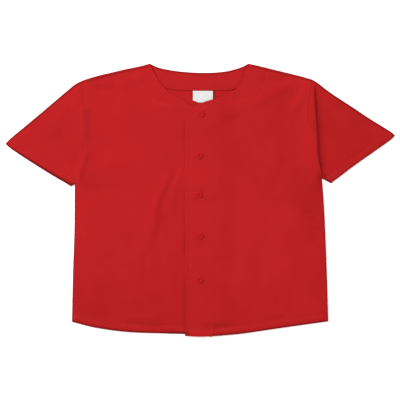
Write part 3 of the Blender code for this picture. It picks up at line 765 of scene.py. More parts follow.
def banded(steps, length, band, band_steps):
    """Fractions of a length whose first stretch, the band, has finer steps than the rest."""
    split = band / length
    fine = np.linspace(0.0, split, band_steps + 1)
    rest = np.linspace(split, 1.0, steps - band_steps + 1)
    return np.concatenate([fine, rest[1:]])


def reversed_fractions(fractions):
    return 1.0 - np.asarray(fractions)[::-1]


def seam_rows():
    """Rows up a front or the back: fine ones in the hem, even ones above it."""
    return banded(SIDE_STEPS, SIDE_LENGTH, HEM_BAND, HEM_ROWS)


def outer_edge(side):
    """From the hem's corner up the side seam and the armhole to the shoulder."""
    return joined(spaced(side.side_seam, seam_rows()), spaced(side.armhole, shares(ARMHOLE_STEPS)))


def inner_edge(hem_end, neckline):
    """From the hem up the placket's seam and the neckline to the neck point."""
    steps = SIDE_STEPS + ARMHOLE_STEPS - NECKLINE_STEPS
    seam = spaced((hem_end, neckline[0]), banded(steps, SEAM_LENGTH, HEM_BAND, HEM_ROWS))
    return joined(seam, spaced(neckline, shares(NECKLINE_STEPS)))


def back_grid():
    upper = joined(
        spaced(RIGHT_SIDE.shoulder, shares(SHOULDER_STEPS)),
        spaced(BACK_NECKLINE, shares(NECK_STEPS)),
        spaced(LEFT_SIDE.shoulder, shares(SHOULDER_STEPS))[::-1],
    )
    lower = spaced(BACK_HEM, shares(len(upper) - 1))
    return patch(lower, upper, outer_edge(RIGHT_SIDE), outer_edge(LEFT_SIDE))


def right_front_grid():
    outer, inner = outer_edge(RIGHT_SIDE), inner_edge(RIGHT_FRONT_HEM[-1], RIGHT_NECKLINE)
    lower = spaced(RIGHT_FRONT_HEM, shares(FRONT_COLUMNS))
    upper = spaced(RIGHT_SIDE.shoulder, shares(FRONT_COLUMNS))
    return patch(lower, upper, outer, inner)


def left_front_grid():
    outer, inner = outer_edge(LEFT_SIDE), inner_edge(LEFT_FRONT_HEM[0], LEFT_NECKLINE)
    across = reversed_fractions(shares(FRONT_COLUMNS, LEFT_CROWDING))
    lower = spaced(LEFT_FRONT_HEM, across)
    upper = spaced(LEFT_SIDE.shoulder[::-1], across)
    return patch(lower, upper, inner, outer, across)


def placket_edge(hem_end, corner):
    """From the hem up the free edge and round the corner at the neck."""
    straight = spaced((hem_end, corner[0]), shares(PLACKET_STEPS - CORNER_STEPS))
    return joined(straight, spaced(corner, shares(CORNER_STEPS)))


def top_placket_grid():
    """The buttonhole side. Its seam edge just meets the left front."""
    edge = placket_edge(TOP_PLACKET_HEM[0], TOP_PLACKET_CORNER)
    seam = spaced((TOP_PLACKET_HEM[-1], TOP_PLACKET_NECKLINE[-1]), shares(PLACKET_STEPS))
    lower = spaced(TOP_PLACKET_HEM, shares(PLACKET_COLUMNS))
    upper = spaced(TOP_PLACKET_NECKLINE, shares(PLACKET_COLUMNS))
    grid = patch(lower, upper, edge, seam)
    grid[:, -1, 0] += SEAM_OVERLAP
    return grid


def under_placket_grid():
    """The button side. Its seam edge just meets the right front."""
    seam = spaced((UNDER_PLACKET_HEM[0], UNDER_PLACKET_NECKLINE[0]), shares(PLACKET_STEPS))
    edge = placket_edge(UNDER_PLACKET_HEM[-1], UNDER_PLACKET_CORNER)
    lower = spaced(UNDER_PLACKET_HEM, shares(PLACKET_COLUMNS))
    upper = spaced(UNDER_PLACKET_NECKLINE, shares(PLACKET_COLUMNS))
    grid = patch(lower, upper, seam, edge)
    grid[:, 0, 0] -= SEAM_OVERLAP
    return grid


def facing_grid():
    """A band along the back neck, a little inside its edge, with its ends in the shoulder seams."""
    lower = spaced(FACING_LOWER_EDGE, shares(FACING_STEPS))
    upper = spaced(BACK_NECKLINE, shares(FACING_STEPS))
    right_end = spaced((lower[0], upper[0]), shares(FACING_ROWS))
    left_end = spaced((lower[-1], upper[-1]), shares(FACING_ROWS))
    grid = patch(lower, upper, right_end, left_end)
    grid[..., 1] -= FACING_SETBACK
    return grid


def label_grid():
    lower = spaced(((LABEL_LEFT_X, LABEL_LOWER_Y), (LABEL_RIGHT_X, LABEL_LOWER_Y)), shares(LABEL_STEPS))
    upper = spaced(((LABEL_LEFT_X, LABEL_UPPER_Y), (LABEL_RIGHT_X, LABEL_UPPER_Y)), shares(LABEL_STEPS))
    left = spaced((lower[0], upper[0]), shares(LABEL_STEPS))
    right = spaced((lower[-1], upper[-1]), shares(LABEL_STEPS))
    grid = patch(lower, upper, left, right)
    from_corner = (grid[..., 0] - LABEL_LEFT_X) / LABEL_CURL_WIDTH
    curl = LABEL_CURL * (1.0 - np.clip(from_corner, 0.0, 1.0)) * (1.0 - shares(LABEL_STEPS))[:, None] ** 2
    grid[..., 1] += curl
    return grid


def sleeve_grid(side):
    """Rows along the armhole and columns out to the cuff, closest together at the armhole."""
    stations = shares(SLEEVE_STATIONS, SLEEVE_CROWDING)
    armhole = spaced(side.armhole, shares(ARMHOLE_STEPS))
    armhole[:, 0] -= side.outward * SEAM_OVERLAP
    under_edge = spaced((armhole[0], side.cuff[0]), stations)
    over_edge = spaced((armhole[-1],) + side.overarm[1:], stations)
    cuff = spaced(side.cuff, shares(ARMHOLE_STEPS))
    return patch(under_edge, over_edge, armhole, cuff, stations)


def beside(line, distance):
    """The line moved to the left of the way it runs, or to the right if the distance is negative."""
    run = np.gradient(line, axis=0)
    run /= np.linalg.norm(run, axis=1)[:, None]
    return line + distance * np.stack([-run[:, 1], run[:, 0]], axis=1)


class Row(NamedTuple):
    """A row of stitching: the piece it is on, its line in the plan, its layer, and how deep its groove is and how dark
    the painted shade along it is.
    """

    piece: str
    line: np.ndarray
    layer: object
    depth: float


def cut_short(line, start, end):
    """The stretch of a line between two lengths from its start and its end."""
    lengths = along_line(line)
    targets = np.linspace(start, lengths[-1] - end, max(2, int((lengths[-1] - start - end) / LINE_STEP)))
    return np.stack([np.interp(targets, lengths, line[:, axis]) for axis in (0, 1)], axis=1)


def stitch_rows():
    """Every row of stitching that shows on the top of the jersey."""
    top_edge = joined(
        np.array([TOP_PLACKET_HEM[0], TOP_PLACKET_CORNER[0]], float),
        curve_through(TOP_PLACKET_CORNER),
        curve_through(TOP_PLACKET_NECKLINE),
    )
    left_facing = curve_through(LEFT_FACING_SEAM)
    right_facing = curve_through(RIGHT_FACING_SEAM)
    # The last number of each row sets its groove's depth and the painted shade along it
    rows = [
        Row("front_right", beside(curve_through(RIGHT_FRONT_HEM), HEM_DEPTH), right_front_layer, 0.06),
        Row("front_left", beside(curve_through(LEFT_FRONT_HEM), HEM_DEPTH), left_front_layer, 0.06),
        Row("placket_left", beside(curve_through(TOP_PLACKET_HEM), HEM_DEPTH), top_placket_layer, 0.1),
        Row("placket_left", beside(top_edge, -PLACKET_STITCH), top_placket_layer, 0.02),
        Row("front_left", beside(curve_through(LEFT_NECKLINE), -NECK_STITCH), left_front_layer, 0.005),
        Row("front_right", beside(curve_through(RIGHT_NECKLINE), NECK_STITCH), right_front_layer, 0.005),
        Row("back_neck_facing", beside(curve_through(BACK_NECKLINE), -NECK_STITCH), facing_layer, 0.06),
        Row("back_neck_facing", beside(curve_through(FACING_LOWER_EDGE), FACING_STITCH), facing_layer, 0.1),
        Row("front_left", left_facing, left_front_layer, 0.06),
        Row("front_right", right_facing, right_front_layer, 0.01),
        Row("front_right", beside(curve_through(RIGHT_SIDE.armhole), -ARMHOLE_STITCH), right_front_layer, 0.05),
        Row("front_left", beside(curve_through(LEFT_SIDE.armhole), ARMHOLE_STITCH), left_front_layer, 0.02),
        Row("sleeve_right", beside(curve_through(RIGHT_SIDE.cuff), -CUFF_DEPTH), top_layer, 0.02),
        Row("sleeve_left", beside(curve_through(LEFT_SIDE.cuff), CUFF_DEPTH), top_layer, 0.03),
    ]
    return [row._replace(line=cut_short(row.line, ROW_END, ROW_END)) for row in rows]


class Band(NamedTuple):
    """Cloth turned under along an edge: a little thicker as far in as the row of stitches."""

    piece: str
    edge: np.ndarray
    width: float
    rise: float


ROWS = stitch_rows()
BANDS = (
    Band("front_right", curve_through(RIGHT_FRONT_HEM), HEM_DEPTH, HEM_RISE),
    Band("front_left", curve_through(LEFT_FRONT_HEM), HEM_DEPTH, HEM_RISE),
    Band("placket_left", curve_through(TOP_PLACKET_HEM), HEM_DEPTH, HEM_RISE),
    Band("placket_right", curve_through(UNDER_PLACKET_HEM), HEM_DEPTH, HEM_RISE),
    Band("front_right", curve_through(RIGHT_NECKLINE), NECK_STITCH, NECK_RISE),
    Band("front_left", curve_through(LEFT_NECKLINE), NECK_STITCH, NECK_RISE),
    Band("back_neck_facing", curve_through(BACK_NECKLINE), NECK_STITCH, NECK_RISE),
    Band("sleeve_right", curve_through(RIGHT_SIDE.cuff), CUFF_DEPTH, CUFF_RISE),
    Band("sleeve_left", curve_through(LEFT_SIDE.cuff), CUFF_DEPTH, CUFF_RISE),
)
SEAM_LINES = (
    curve_through(RIGHT_SIDE.armhole),
    curve_through(LEFT_SIDE.armhole),
    np.array([TOP_PLACKET_HEM[-1], TOP_PLACKET_NECKLINE[-1]], float),
    np.array([UNDER_PLACKET_HEM[0], UNDER_PLACKET_NECKLINE[0]], float),
)
SEAM_DIPS = {
    "front_right": curve_through(RIGHT_SIDE.armhole),
    "sleeve_right": curve_through(RIGHT_SIDE.armhole),
    "front_left": curve_through(LEFT_SIDE.armhole),
    "sleeve_left": curve_through(LEFT_SIDE.armhole),
}


def puckers(gap, length_along):
    """The small uneven waves that a row of stitches draws the cloth into."""
    flat = [noise.noise((value / PUCKER_LENGTH, 0.0, 0.0)) for value in length_along.ravel()]
    waves = np.array(flat).reshape(gap.shape)
    return PUCKER_HEIGHT * waves * np.exp(-((gap / PUCKER_REACH) ** 2))


def sewing(piece, points):
    """What the stitches, hems and seams add to a piece's upper face, or take from it."""
    total = np.zeros(points.shape[:-1])
    for band in BANDS:
        if band.piece == piece:
            gap = distance_to(points, band.edge)[0]
            total += band.rise * (1.0 - ease(gap, band.width - BAND_EASE, band.width + BAND_EASE))
    for row in ROWS:
        if row.piece == piece:
            gap, _, along = distance_to(points, row.line)
            total -= GROOVE_SHARE * row.depth * np.exp(-((gap / GROOVE_REACH) ** 2))
            total += puckers(gap, along * along_line(row.line)[-1])
    if piece in SEAM_DIPS:
        gap = distance_to(points, SEAM_DIPS[piece])[0]
        total -= SEAM_DIP * np.exp(-((gap / SEAM_DIP_REACH) ** 2))
    return total * (1.0 - np.exp(-((outline_distance(points) / SEWING_FADE) ** 2)))


def upper_face(piece, layer, points):
    """The height of a piece's upper face over the plan."""
    under, wall = layer(points)
    return under + wall + sewing(piece, points)


def outward(loop):
    """The directions out of a closed loop of points in the plan."""
    run = np.roll(loop, -1, axis=0) - np.roll(loop, 1, axis=0)
    normal = np.stack([run[:, 1], -run[:, 0]], axis=1)
    normal /= np.linalg.norm(normal, axis=1)[:, None]
    following = np.roll(loop, -1, axis=0)
    turning = np.sum(loop[:, 0] * following[:, 1] - loop[:, 1] * following[:, 0])
    return normal * np.sign(turning)


def rim_widths(edge):
    """How far each point of a border is drawn in for its rounding: hardly at all along a seam."""
    gap = np.min([distance_to(edge, line)[0] for line in SEAM_LINES], axis=0)
    return np.where(gap < SEAM_NEAR, SEAM_RIM_WIDTH, RIM_WIDTH)[:, None]


def border(rows, columns):
    """The indices of a grid's border, once round."""
    index = np.arange(rows * columns).reshape(rows, columns)
    return np.concatenate([index[0, :-1], index[:-1, -1], index[-1, :0:-1], index[:0:-1, 0]])


def quads(index):
    """The faces between the neighbours of a grid of indices."""
    corners = (index[:-1, :-1], index[:-1, 1:], index[1:, 1:], index[1:, :-1])
    return np.stack([corner.ravel() for corner in corners], axis=1)


def around(first, second):
    """The faces between two closed loops of indices."""
    return np.stack([first, np.roll(first, -1), np.roll(second, -1), second], axis=1)


def panel_shell(grid, top, under):
    """Points and faces of a panel with a rounded rim: its upper face, its rim and its lower face."""
    rows, columns = grid.shape[:2]
    count = rows * columns
    loop = border(rows, columns)
    plan = grid.reshape(-1, 2).copy()
    edge = plan[loop].copy()
    normals = outward(edge) * rim_widths(edge)
    plan[loop] -= normals
    top, under = top.ravel(), under.ravel()
    points = [np.column_stack([plan, top]), np.column_stack([plan, under])]
    loops = [loop]
    middle, half = (top[loop] + under[loop]) / 2, (top[loop] - under[loop]) / 2
    for step in range(1, RIM_SEGMENTS + 1):
        angle = math.pi * (0.5 - step / (RIM_SEGMENTS + 1))
        ring = edge - normals * (1.0 - math.cos(angle))
        loops.append(2 * count + (step - 1) * len(loop) + np.arange(len(loop)))
        points.append(np.column_stack([ring, middle + half * math.sin(angle)]))
    loops.append(loop + count)
    index = np.arange(count).reshape(rows, columns)
    faces = [quads(index), quads(index + count)[:, ::-1]]
    faces += [around(first, second) for first, second in zip(loops, loops[1:])]
    return np.concatenate(points), np.concatenate(faces)


def tube_ring(line, upper, lower, radius):
    """One ring round a flattened tube: along its upper layer, round the fold, back along the lower one."""
    ends = []
    for end, neighbour in ((line[-1], line[-2]), (line[0], line[1])):
        inward = (neighbour - end) / np.linalg.norm(neighbour - end)
        ends.append((end + inward * TUBE_EDGE_RADIUS, -inward))
    middle = line.copy()
    middle[-1], middle[0] = ends[0][0], ends[1][0]
    arcs = []
    for (centre, out), row in zip(ends, (-1, 0)):
        level, half = (upper[row] + lower[row]) / 2, (upper[row] - lower[row]) / 2
        arcs.append(
            [(*(centre + out * radius * math.cos(angle)), level + half * math.sin(angle)) for angle in FOLD_ANGLES]
        )
    return np.concatenate([
        np.column_stack([middle, upper]), arcs[0], np.column_stack([middle, lower])[::-1], arcs[1][::-1],
    ])


def tube_shell(grid, outer_heights, inner_heights):
    """Points and faces of a flattened tube, open at both ends, with rounded rims there."""
    stations = grid.shape[1]
    end_widths = (SEAM_RIM_WIDTH, RIM_WIDTH)
    outer, inner = [], []
    for station in range(stations):
        line = grid[:, station].copy()
        if station in (0, stations - 1):
            run = grid[:, 1 if station == 0 else -2] - line
            line += run / np.linalg.norm(run, axis=1)[:, None] * end_widths[station > 0]
        outer.append(tube_ring(line, *(height[:, station] for height in outer_heights), TUBE_EDGE_RADIUS))
        inner.append(tube_ring(line, *(height[:, station] for height in inner_heights), SEAM_GAP / 2))
    ring_size = len(outer[0])
    points = np.array(outer + inner)
    rims = []
    for station in (0, stations - 1):
        middle = (outer[station] + inner[station]) / 2
        inside = (outer[1] if station == 0 else outer[-2])[:, :2]
        out = middle[:, :2] - inside
        middle[:, :2] += out / np.linalg.norm(out, axis=1)[:, None] * end_widths[station > 0]
        rims.append(middle)
    count = 2 * stations * ring_size
    index = np.arange(count).reshape(2, stations, ring_size)
    rim_index = count + np.arange(2 * ring_size).reshape(2, ring_size)
    faces = []
    for layer in index:
        faces += [around(first, second) for first, second in zip(layer, layer[1:])]
    for rim, station in zip(rim_index, (0, stations - 1)):
        faces += [around(index[0, station], rim), around(rim, index[1, station])]
    return np.concatenate([points.reshape(-1, 3), np.concatenate(rims)]), np.concatenate(faces)


def painted_light_and_shade(plan):
    """The painted light and shade: a factor on the cloth's colour, lighter or darker in patches and along lines."""
    total = np.ones(len(plan))
    for painted_shading in PAINTED_SHADING_PATCHES:
        gap = np.linalg.norm(plan - np.array((painted_shading.x, painted_shading.y)), axis=1)
        total += painted_shading.amount * np.exp(-((gap / painted_shading.reach) ** 2))
    for shade in SHADES:
        gap, _, along = distance_to(plan, curve_through(shade.line))
        ends = ease(along, 0.0, SHADE_END) * (1.0 - ease(along, 1.0 - SHADE_END, 1.0))
        total += shade.amount * ends * np.exp(-((gap / shade.reach) ** 2))
    return total


def row_gaps(piece, plan):
    """Signed distances to the nearest row of stitches on the piece, and how dark the painted shade along that row is.
    """
    nearest = np.full(len(plan), FAR)
    depth = np.zeros(len(plan))
    for row in ROWS:
        if row.piece == piece:
            gap, side, _ = distance_to(plan, row.line)
            closer = gap < np.abs(nearest)
            nearest = np.where(closer, gap * side, nearest)
            depth = np.where(closer, row.depth, depth)
    return nearest, depth


def make_object(name, node, points, faces, material, grain=0.0):
    """A smooth closed mesh, with its plan as a UV map that is turned to the cloth's grain.

    Its attributes say how far each point is from the garment's outline and from its stitches, and how strongly painted
    light and shade change its colour there.
    """
    mesh = bpy.data.meshes.new(name)
    mesh.from_pydata((points * MM).tolist(), [], faces.tolist())
    row_gap, row_painted_shade = row_gaps(node, points[:, :2])
    edge_gap, edge_painted_shade = painted_edge_shade(points[:, :2])
    values = {
        "edge_gap": edge_gap,
        "edge_painted_shade": edge_painted_shade,
        "row_gap": row_gap,
        "row_painted_shade": row_painted_shade,
        "painted_shading": painted_light_and_shade(points[:, :2]),
    }
    for key, value in values.items():
        mesh.attributes.new(key, "FLOAT", "POINT").data.foreach_set("value", value)
    shape = bmesh.new()
    shape.from_mesh(mesh)
    bmesh.ops.recalc_face_normals(shape, faces=shape.faces)
    layer = shape.loops.layers.uv.new("grain")
    turn = Matrix.Rotation(-grain, 2)
    for face in shape.faces:
        face.smooth = True
        for corner in face.loops:
            corner[layer].uv = turn @ corner.vert.co.xy
    shape.to_mesh(mesh)
    shape.free()
    mesh.set_sharp_from_angle(angle=SEAM_SHARP)
    mesh.materials.append(material)
    piece = bpy.data.objects.new(name, mesh)
    bpy.context.scene.collection.objects.link(piece)
    return piece


def capsule(length, width, height):
    """One stitch along +X about the origin: rings of points between two tips that dip into the cloth."""
    points = [(-length / 2, 0.0, -height)]
    for share, fullness in STITCH_PROFILE:
        for side in range(STITCH_SIDES):
            angle = math.tau * side / STITCH_SIDES
            points.append((
                share * length / 2,
                fullness * width / 2 * math.cos(angle),
                fullness * height / 2 * math.sin(angle) - STITCH_DIP * height * share**2,
            ))
    points.append((length / 2, 0.0, -height))
    faces = []
    last = len(points) - 1
    for side in range(STITCH_SIDES):
        following = (side + 1) % STITCH_SIDES
        faces.append((0, 1 + following, 1 + side, 1 + side))
        for ring in range(len(STITCH_PROFILE) - 1):
            start = 1 + ring * STITCH_SIDES
            end = start + STITCH_SIDES
            faces.append((start + side, start + following, end + following, end + side))
        start = last - STITCH_SIDES
        faces.append((last, start + side, start + following, start + following))
    return np.array(points), np.array(faces)


def stitch_copies(shape, centres, directions):
    """Copies of a stitch at these places, turned to these directions."""
    points, faces = shape
    along = directions / np.linalg.norm(directions, axis=1)[:, None]
    across = np.cross(np.array((0.0, 0.0, 1.0)), along)
    across /= np.linalg.norm(across, axis=1)[:, None]
    up = np.cross(along, across)
    placed = (
        centres[:, None]
        + points[None, :, :1] * along[:, None]
        + points[None, :, 1:2] * across[:, None]
        + points[None, :, 2:] * up[:, None]
    )
    offsets = np.arange(len(centres))[:, None, None] * len(points)
    return placed.reshape(-1, 3), (faces[None] + offsets).reshape(-1, 4)


def row_stitches(row):
    """The centres and directions of the stitches along one row, on the piece's upper face."""
    lengths = along_line(row.line)
    starts = np.arange(0.0, lengths[-1] - STITCH_LENGTH, STITCH_PITCH)
    ends = []
    for targets in (starts, starts + STITCH_LENGTH):
        plan = np.stack([np.interp(targets, lengths, row.line[:, axis]) for axis in (0, 1)], axis=1)
        ends.append(np.column_stack([plan, upper_face(row.piece, row.layer, plan)]))
    centres = (ends[0] + ends[1]) / 2
    centres[:, 2] += STITCH_HEIGHT * STITCH_STANDS
    return centres, ends[1] - ends[0]


def buttonhole_stitches():
    """Short stitches across both sides of every buttonhole. The ends look out from under the buttons."""
    centres, directions = [], []
    steps = np.arange(-BUTTONHOLE_LENGTH / 2, BUTTONHOLE_LENGTH / 2 + 0.01, BUTTONHOLE_PITCH)
    for button in BUTTONS:
        for side in (-1, 1):
            plan = np.stack([np.full_like(steps, button.x + side * BUTTONHOLE_SIDE), button.y + steps], axis=1)
            level = upper_face("placket_left", top_placket_layer, plan) + STITCH_HEIGHT * STITCH_STANDS
            centres.append(np.column_stack([plan, level]))
            directions.append(np.tile((1.0, 0.12 * side, 0.0), (len(steps), 1)))
    return np.concatenate(centres), np.concatenate(directions)


def merged(parts):
    """Points and faces of several meshes as one."""
    points, faces, count = [], [], 0
    for part_points, part_faces in parts:
        points.append(part_points)
        faces.append(part_faces + count)
        count += len(part_points)
    return np.concatenate(points), np.concatenate(faces)


def triangles_kept(faces):
    """Faces as lists, with a repeated last corner dropped."""
    return [face[:3] if face[2] == face[3] else face for face in faces.tolist()]


def make_stitches(name, piece_name, material):
    shape = capsule(STITCH_LENGTH, STITCH_WIDTH, STITCH_HEIGHT)
    parts = [stitch_copies(shape, *row_stitches(row)) for row in ROWS if row.piece == piece_name]
    if piece_name == "placket_left":
        short = capsule(BUTTONHOLE_STITCH, BUTTONHOLE_PITCH * 0.95, STITCH_HEIGHT)
        parts.append(stitch_copies(short, *buttonhole_stitches()))
    points, faces = merged(parts)
    return make_plain_object(name, points, triangles_kept(faces), material)


def make_plain_object(name, points, faces, material):
    mesh = bpy.data.meshes.new(name)
    mesh.from_pydata((points * MM).tolist(), [], faces)
    mesh.shade_smooth()
    mesh.materials.append(material)
    piece = bpy.data.objects.new(name, mesh)
    bpy.context.scene.collection.objects.link(piece)
    return piece


def node_tree(name):
    material = bpy.data.materials.new(name)
    material.use_nodes = True
    return material, material.node_tree.nodes, material.node_tree.links, material.node_tree.nodes["Principled BSDF"]


def knit_bump(nodes, links, coordinates, shader, wale, depth, fuzz):
    """Columns of small loops, with the fuzz of the yarn over them."""
    columns = nodes.new("ShaderNodeTexWave")
    columns.wave_type = "BANDS"
    columns.bands_direction = "X"
    columns.inputs["Scale"].default_value = WAVE_PERIOD / wale
    columns.inputs["Distortion"].default_value = 0.6
    columns.inputs["Detail"].default_value = 1.0
    courses = nodes.new("ShaderNodeTexWave")
    courses.wave_type = "BANDS"
    courses.bands_direction = "Y"
    courses.inputs["Scale"].default_value = WAVE_PERIOD / (wale * 0.8)
    courses.inputs["Distortion"].default_value = 0.8
    courses.inputs["Detail"].default_value = 1.0
    loops = nodes.new("ShaderNodeMath")
    loops.operation = "MULTIPLY"
    knit = nodes.new("ShaderNodeBump")
    knit.inputs["Strength"].default_value = 0.8
    knit.inputs["Distance"].default_value = depth
    yarn = nodes.new("ShaderNodeTexNoise")
    yarn.inputs["Scale"].default_value = 1.0 / fuzz
    yarn.inputs["Detail"].default_value = 3.0
    nap = nodes.new("ShaderNodeBump")
    nap.inputs["Strength"].default_value = 0.5
    nap.inputs["Distance"].default_value = depth
    for texture in (columns, courses, yarn):
        links.new(coordinates, texture.inputs["Vector"])
    links.new(columns.outputs["Fac"], loops.inputs[0])
    links.new(courses.outputs["Fac"], loops.inputs[1])
    links.new(loops.outputs["Value"], knit.inputs["Height"])
    links.new(yarn.outputs["Fac"], nap.inputs["Height"])
    links.new(knit.outputs["Normal"], nap.inputs["Normal"])
    links.new(nap.outputs["Normal"], shader.inputs["Normal"])


def uneven_colour(nodes, links, coordinates, shader, darker, lighter, patch_size):
    """The dye takes a little unevenly: broad soft patches with a fine mottle in them."""
    broad = nodes.new("ShaderNodeTexNoise")
    broad.inputs["Scale"].default_value = 1.0 / patch_size
    broad.inputs["Detail"].default_value = 6.0
    broad.inputs["Roughness"].default_value = 0.62
    ramp = nodes.new("ShaderNodeValToRGB")
    ramp.color_ramp.elements[0].position = 0.3
    ramp.color_ramp.elements[1].position = 0.7
    ramp.color_ramp.elements[0].color = (*darker, 1.0)
    ramp.color_ramp.elements[1].color = (*lighter, 1.0)
    links.new(coordinates, broad.inputs["Vector"])
    links.new(broad.outputs["Fac"], ramp.inputs["Fac"])
    links.new(ramp.outputs["Color"], shader.inputs["Base Color"])


def read_attribute(nodes, name):
    reader = nodes.new("ShaderNodeAttribute")
    reader.attribute_name = name
    return reader.outputs["Fac"]


def ramp_between(nodes, links, value, start, end, low, high):
    """A value that eases from low to high as another one goes from start to end."""
    ramp = nodes.new("ShaderNodeMapRange")
    ramp.interpolation_type = "SMOOTHSTEP"
    ramp.inputs["From Min"].default_value = start
    ramp.inputs["From Max"].default_value = end
    ramp.inputs["To Min"].default_value = low
    ramp.inputs["To Max"].default_value = high
    links.new(value, ramp.inputs["Value"])
    return ramp.outputs["Result"]


def arithmetic(nodes, links, operation, *values):
    node = nodes.new("ShaderNodeMath")
    node.operation = operation
    for socket, value in zip(node.inputs, values):
        if isinstance(value, (int, float)):
            socket.default_value = value
        else:
            links.new(value, socket)
    return node.outputs["Value"]


def shade_edges_and_rows(nodes, links, shader):
    """Painted shade: the cloth's colour is darkened where it turns down at the outline and along its rows of stitches,
    and multiplied by the painted light and shade of the patches and lines.
    """
    edge_gap = read_attribute(nodes, "edge_gap")
    from_rim = ramp_between(nodes, links, edge_gap, 0.0, EDGE_BRIGHT_RIM, 0.0, 1.0)
    from_inside = ramp_between(nodes, links, edge_gap, EDGE_FADE_START, EDGE_FADE_END, 1.0, 0.0)
    band = arithmetic(nodes, links, "MULTIPLY", from_rim, from_inside)
    edge_taken = arithmetic(nodes, links, "MULTIPLY", band, read_attribute(nodes, "edge_painted_shade"))
    at_edge = arithmetic(nodes, links, "SUBTRACT", 1.0, edge_taken)
    from_row = arithmetic(nodes, links, "ABSOLUTE", read_attribute(nodes, "row_gap"))
    at_row = ramp_between(nodes, links, from_row, ROW_CORE, ROW_BAND, 1.0, 0.0)
    taken = arithmetic(nodes, links, "MULTIPLY", at_row, read_attribute(nodes, "row_painted_shade"))
    kept = arithmetic(nodes, links, "SUBTRACT", 1.0, taken)
    share = arithmetic(nodes, links, "MULTIPLY", at_edge, kept)
    share = arithmetic(nodes, links, "MULTIPLY", share, read_attribute(nodes, "painted_shading"))
    scale = nodes.new("ShaderNodeVectorMath")
    scale.operation = "SCALE"
    colour = shader.inputs["Base Color"].links[0].from_socket
    links.new(colour, scale.inputs["Vector"])
    links.new(share, scale.inputs["Scale"])
    links.new(scale.outputs["Vector"], shader.inputs["Base Color"])


def cloth_material(name, darker, lighter, wale, sheen):
    material, nodes, links, shader = node_tree(name)
    shader.inputs["Roughness"].default_value = 0.88
    shader.inputs["Specular IOR Level"].default_value = 0.1
    shader.inputs["Sheen Weight"].default_value = sheen
    shader.inputs["Sheen Roughness"].default_value = 0.45
    shader.inputs["Sheen Tint"].default_value = (1.0, 0.2, 0.2, 1.0)
    grain = nodes.new("ShaderNodeUVMap")
    grain.uv_map = "grain"
    place = nodes.new("ShaderNodeTexCoord")
    knit_bump(nodes, links, grain.outputs["UV"], shader, wale, 0.12 * MM, 0.5 * MM)
    uneven_colour(nodes, links, place.outputs["Object"], shader, darker, lighter, 60 * MM)
    shade_edges_and_rows(nodes, links, shader)
    return material


def label_material():
    material, nodes, links, shader = node_tree("woven_label")
    shader.inputs["Roughness"].default_value = 0.6
    shader.inputs["Sheen Weight"].default_value = 0.05
    shader.inputs["Sheen Roughness"].default_value = 0.4
    place = nodes.new("ShaderNodeTexCoord")
    knit_bump(nodes, links, place.outputs["Object"], shader, 0.45 * MM, 0.05 * MM, 0.4 * MM)
    uneven_colour(nodes, links, place.outputs["Object"], shader, LABEL_DARKER, LABEL_LIGHTER, 12 * MM)
    return material


def thread_material():
    material, nodes, links, shader = node_tree("sewing_thread")
    shader.inputs["Roughness"].default_value = 0.55
    shader.inputs["Sheen Weight"].default_value = 0.1
    place = nodes.new("ShaderNodeTexCoord")
    twist = nodes.new("ShaderNodeTexWave")
    twist.bands_direction = "DIAGONAL"
    twist.inputs["Scale"].default_value = WAVE_PERIOD / (0.5 * MM)
    bump = nodes.new("ShaderNodeBump")
    bump.inputs["Strength"].default_value = 0.5
    bump.inputs["Distance"].default_value = 0.05 * MM
    links.new(place.outputs["Object"], twist.inputs["Vector"])
    links.new(twist.outputs["Fac"], bump.inputs["Height"])
    links.new(bump.outputs["Normal"], shader.inputs["Normal"])
    uneven_colour(nodes, links, place.outputs["Object"], shader, THREAD_DARKER, THREAD_LIGHTER, 6 * MM)
    return material


def button_material():
    material, nodes, links, shader = node_tree("moulded_button")
    shader.inputs["Roughness"].default_value = 0.5
    shader.inputs["Specular IOR Level"].default_value = 0.05
    place = nodes.new("ShaderNodeTexCoord")
    scuffs = nodes.new("ShaderNodeTexNoise")
    scuffs.inputs["Scale"].default_value = 1.0 / (1.2 * MM)
    scuffs.inputs["Detail"].default_value = 3.0
    bump = nodes.new("ShaderNodeBump")
    bump.inputs["Strength"].default_value = 0.15
    bump.inputs["Distance"].default_value = 0.05 * MM
    links.new(place.outputs["Object"], scuffs.inputs["Vector"])
    links.new(scuffs.outputs["Fac"], bump.inputs["Height"])
    links.new(bump.outputs["Normal"], shader.inputs["Normal"])
    uneven_colour(nodes, links, place.outputs["Object"], shader, BUTTON_DARKER, BUTTON_LIGHTER, 4 * MM)
    return material


def floor_material():
    material, nodes, links, shader = node_tree("studio_floor")
    shader.inputs["Base Color"].default_value = FLOOR_COLOUR
    shader.inputs["Roughness"].default_value = 0.9
    shader.inputs["Specular IOR Level"].default_value = 0.1
    shader.inputs["Emission Color"].default_value = (1.0, 1.0, 1.0, 1.0)
    shader.inputs["Emission Strength"].default_value = FLOOR_GLOW
    return material


def make_floor():
    mesh = bpy.data.meshes.new("floor")
    half = FLOOR_SIZE / 2
    corners = [(-half, -half, -FLOOR_DROP), (half, -half, -FLOOR_DROP), (half, half, -FLOOR_DROP), (-half, half, -FLOOR_DROP)]
    mesh.from_pydata(corners, [], [(0, 1, 2, 3)])
    mesh.materials.append(floor_material())
    floor = bpy.data.objects.new("floor", mesh)
    bpy.context.scene.collection.objects.link(floor)


def aim(item, target):
    """Turn a light or the camera to look at a point."""
    item.rotation_euler = (Vector(target) - item.location).to_track_quat("-Z", "Y").to_euler()


def make_light(name, place, size, power):
    lamp = bpy.data.lights.new(name, "AREA")
    lamp.shape = "DISK"
    lamp.size = size
    lamp.energy = power
    item = bpy.data.objects.new(name, lamp)
    item.location = place
    bpy.context.scene.collection.objects.link(item)
    aim(item, (0.0, 0.0, 0.0))


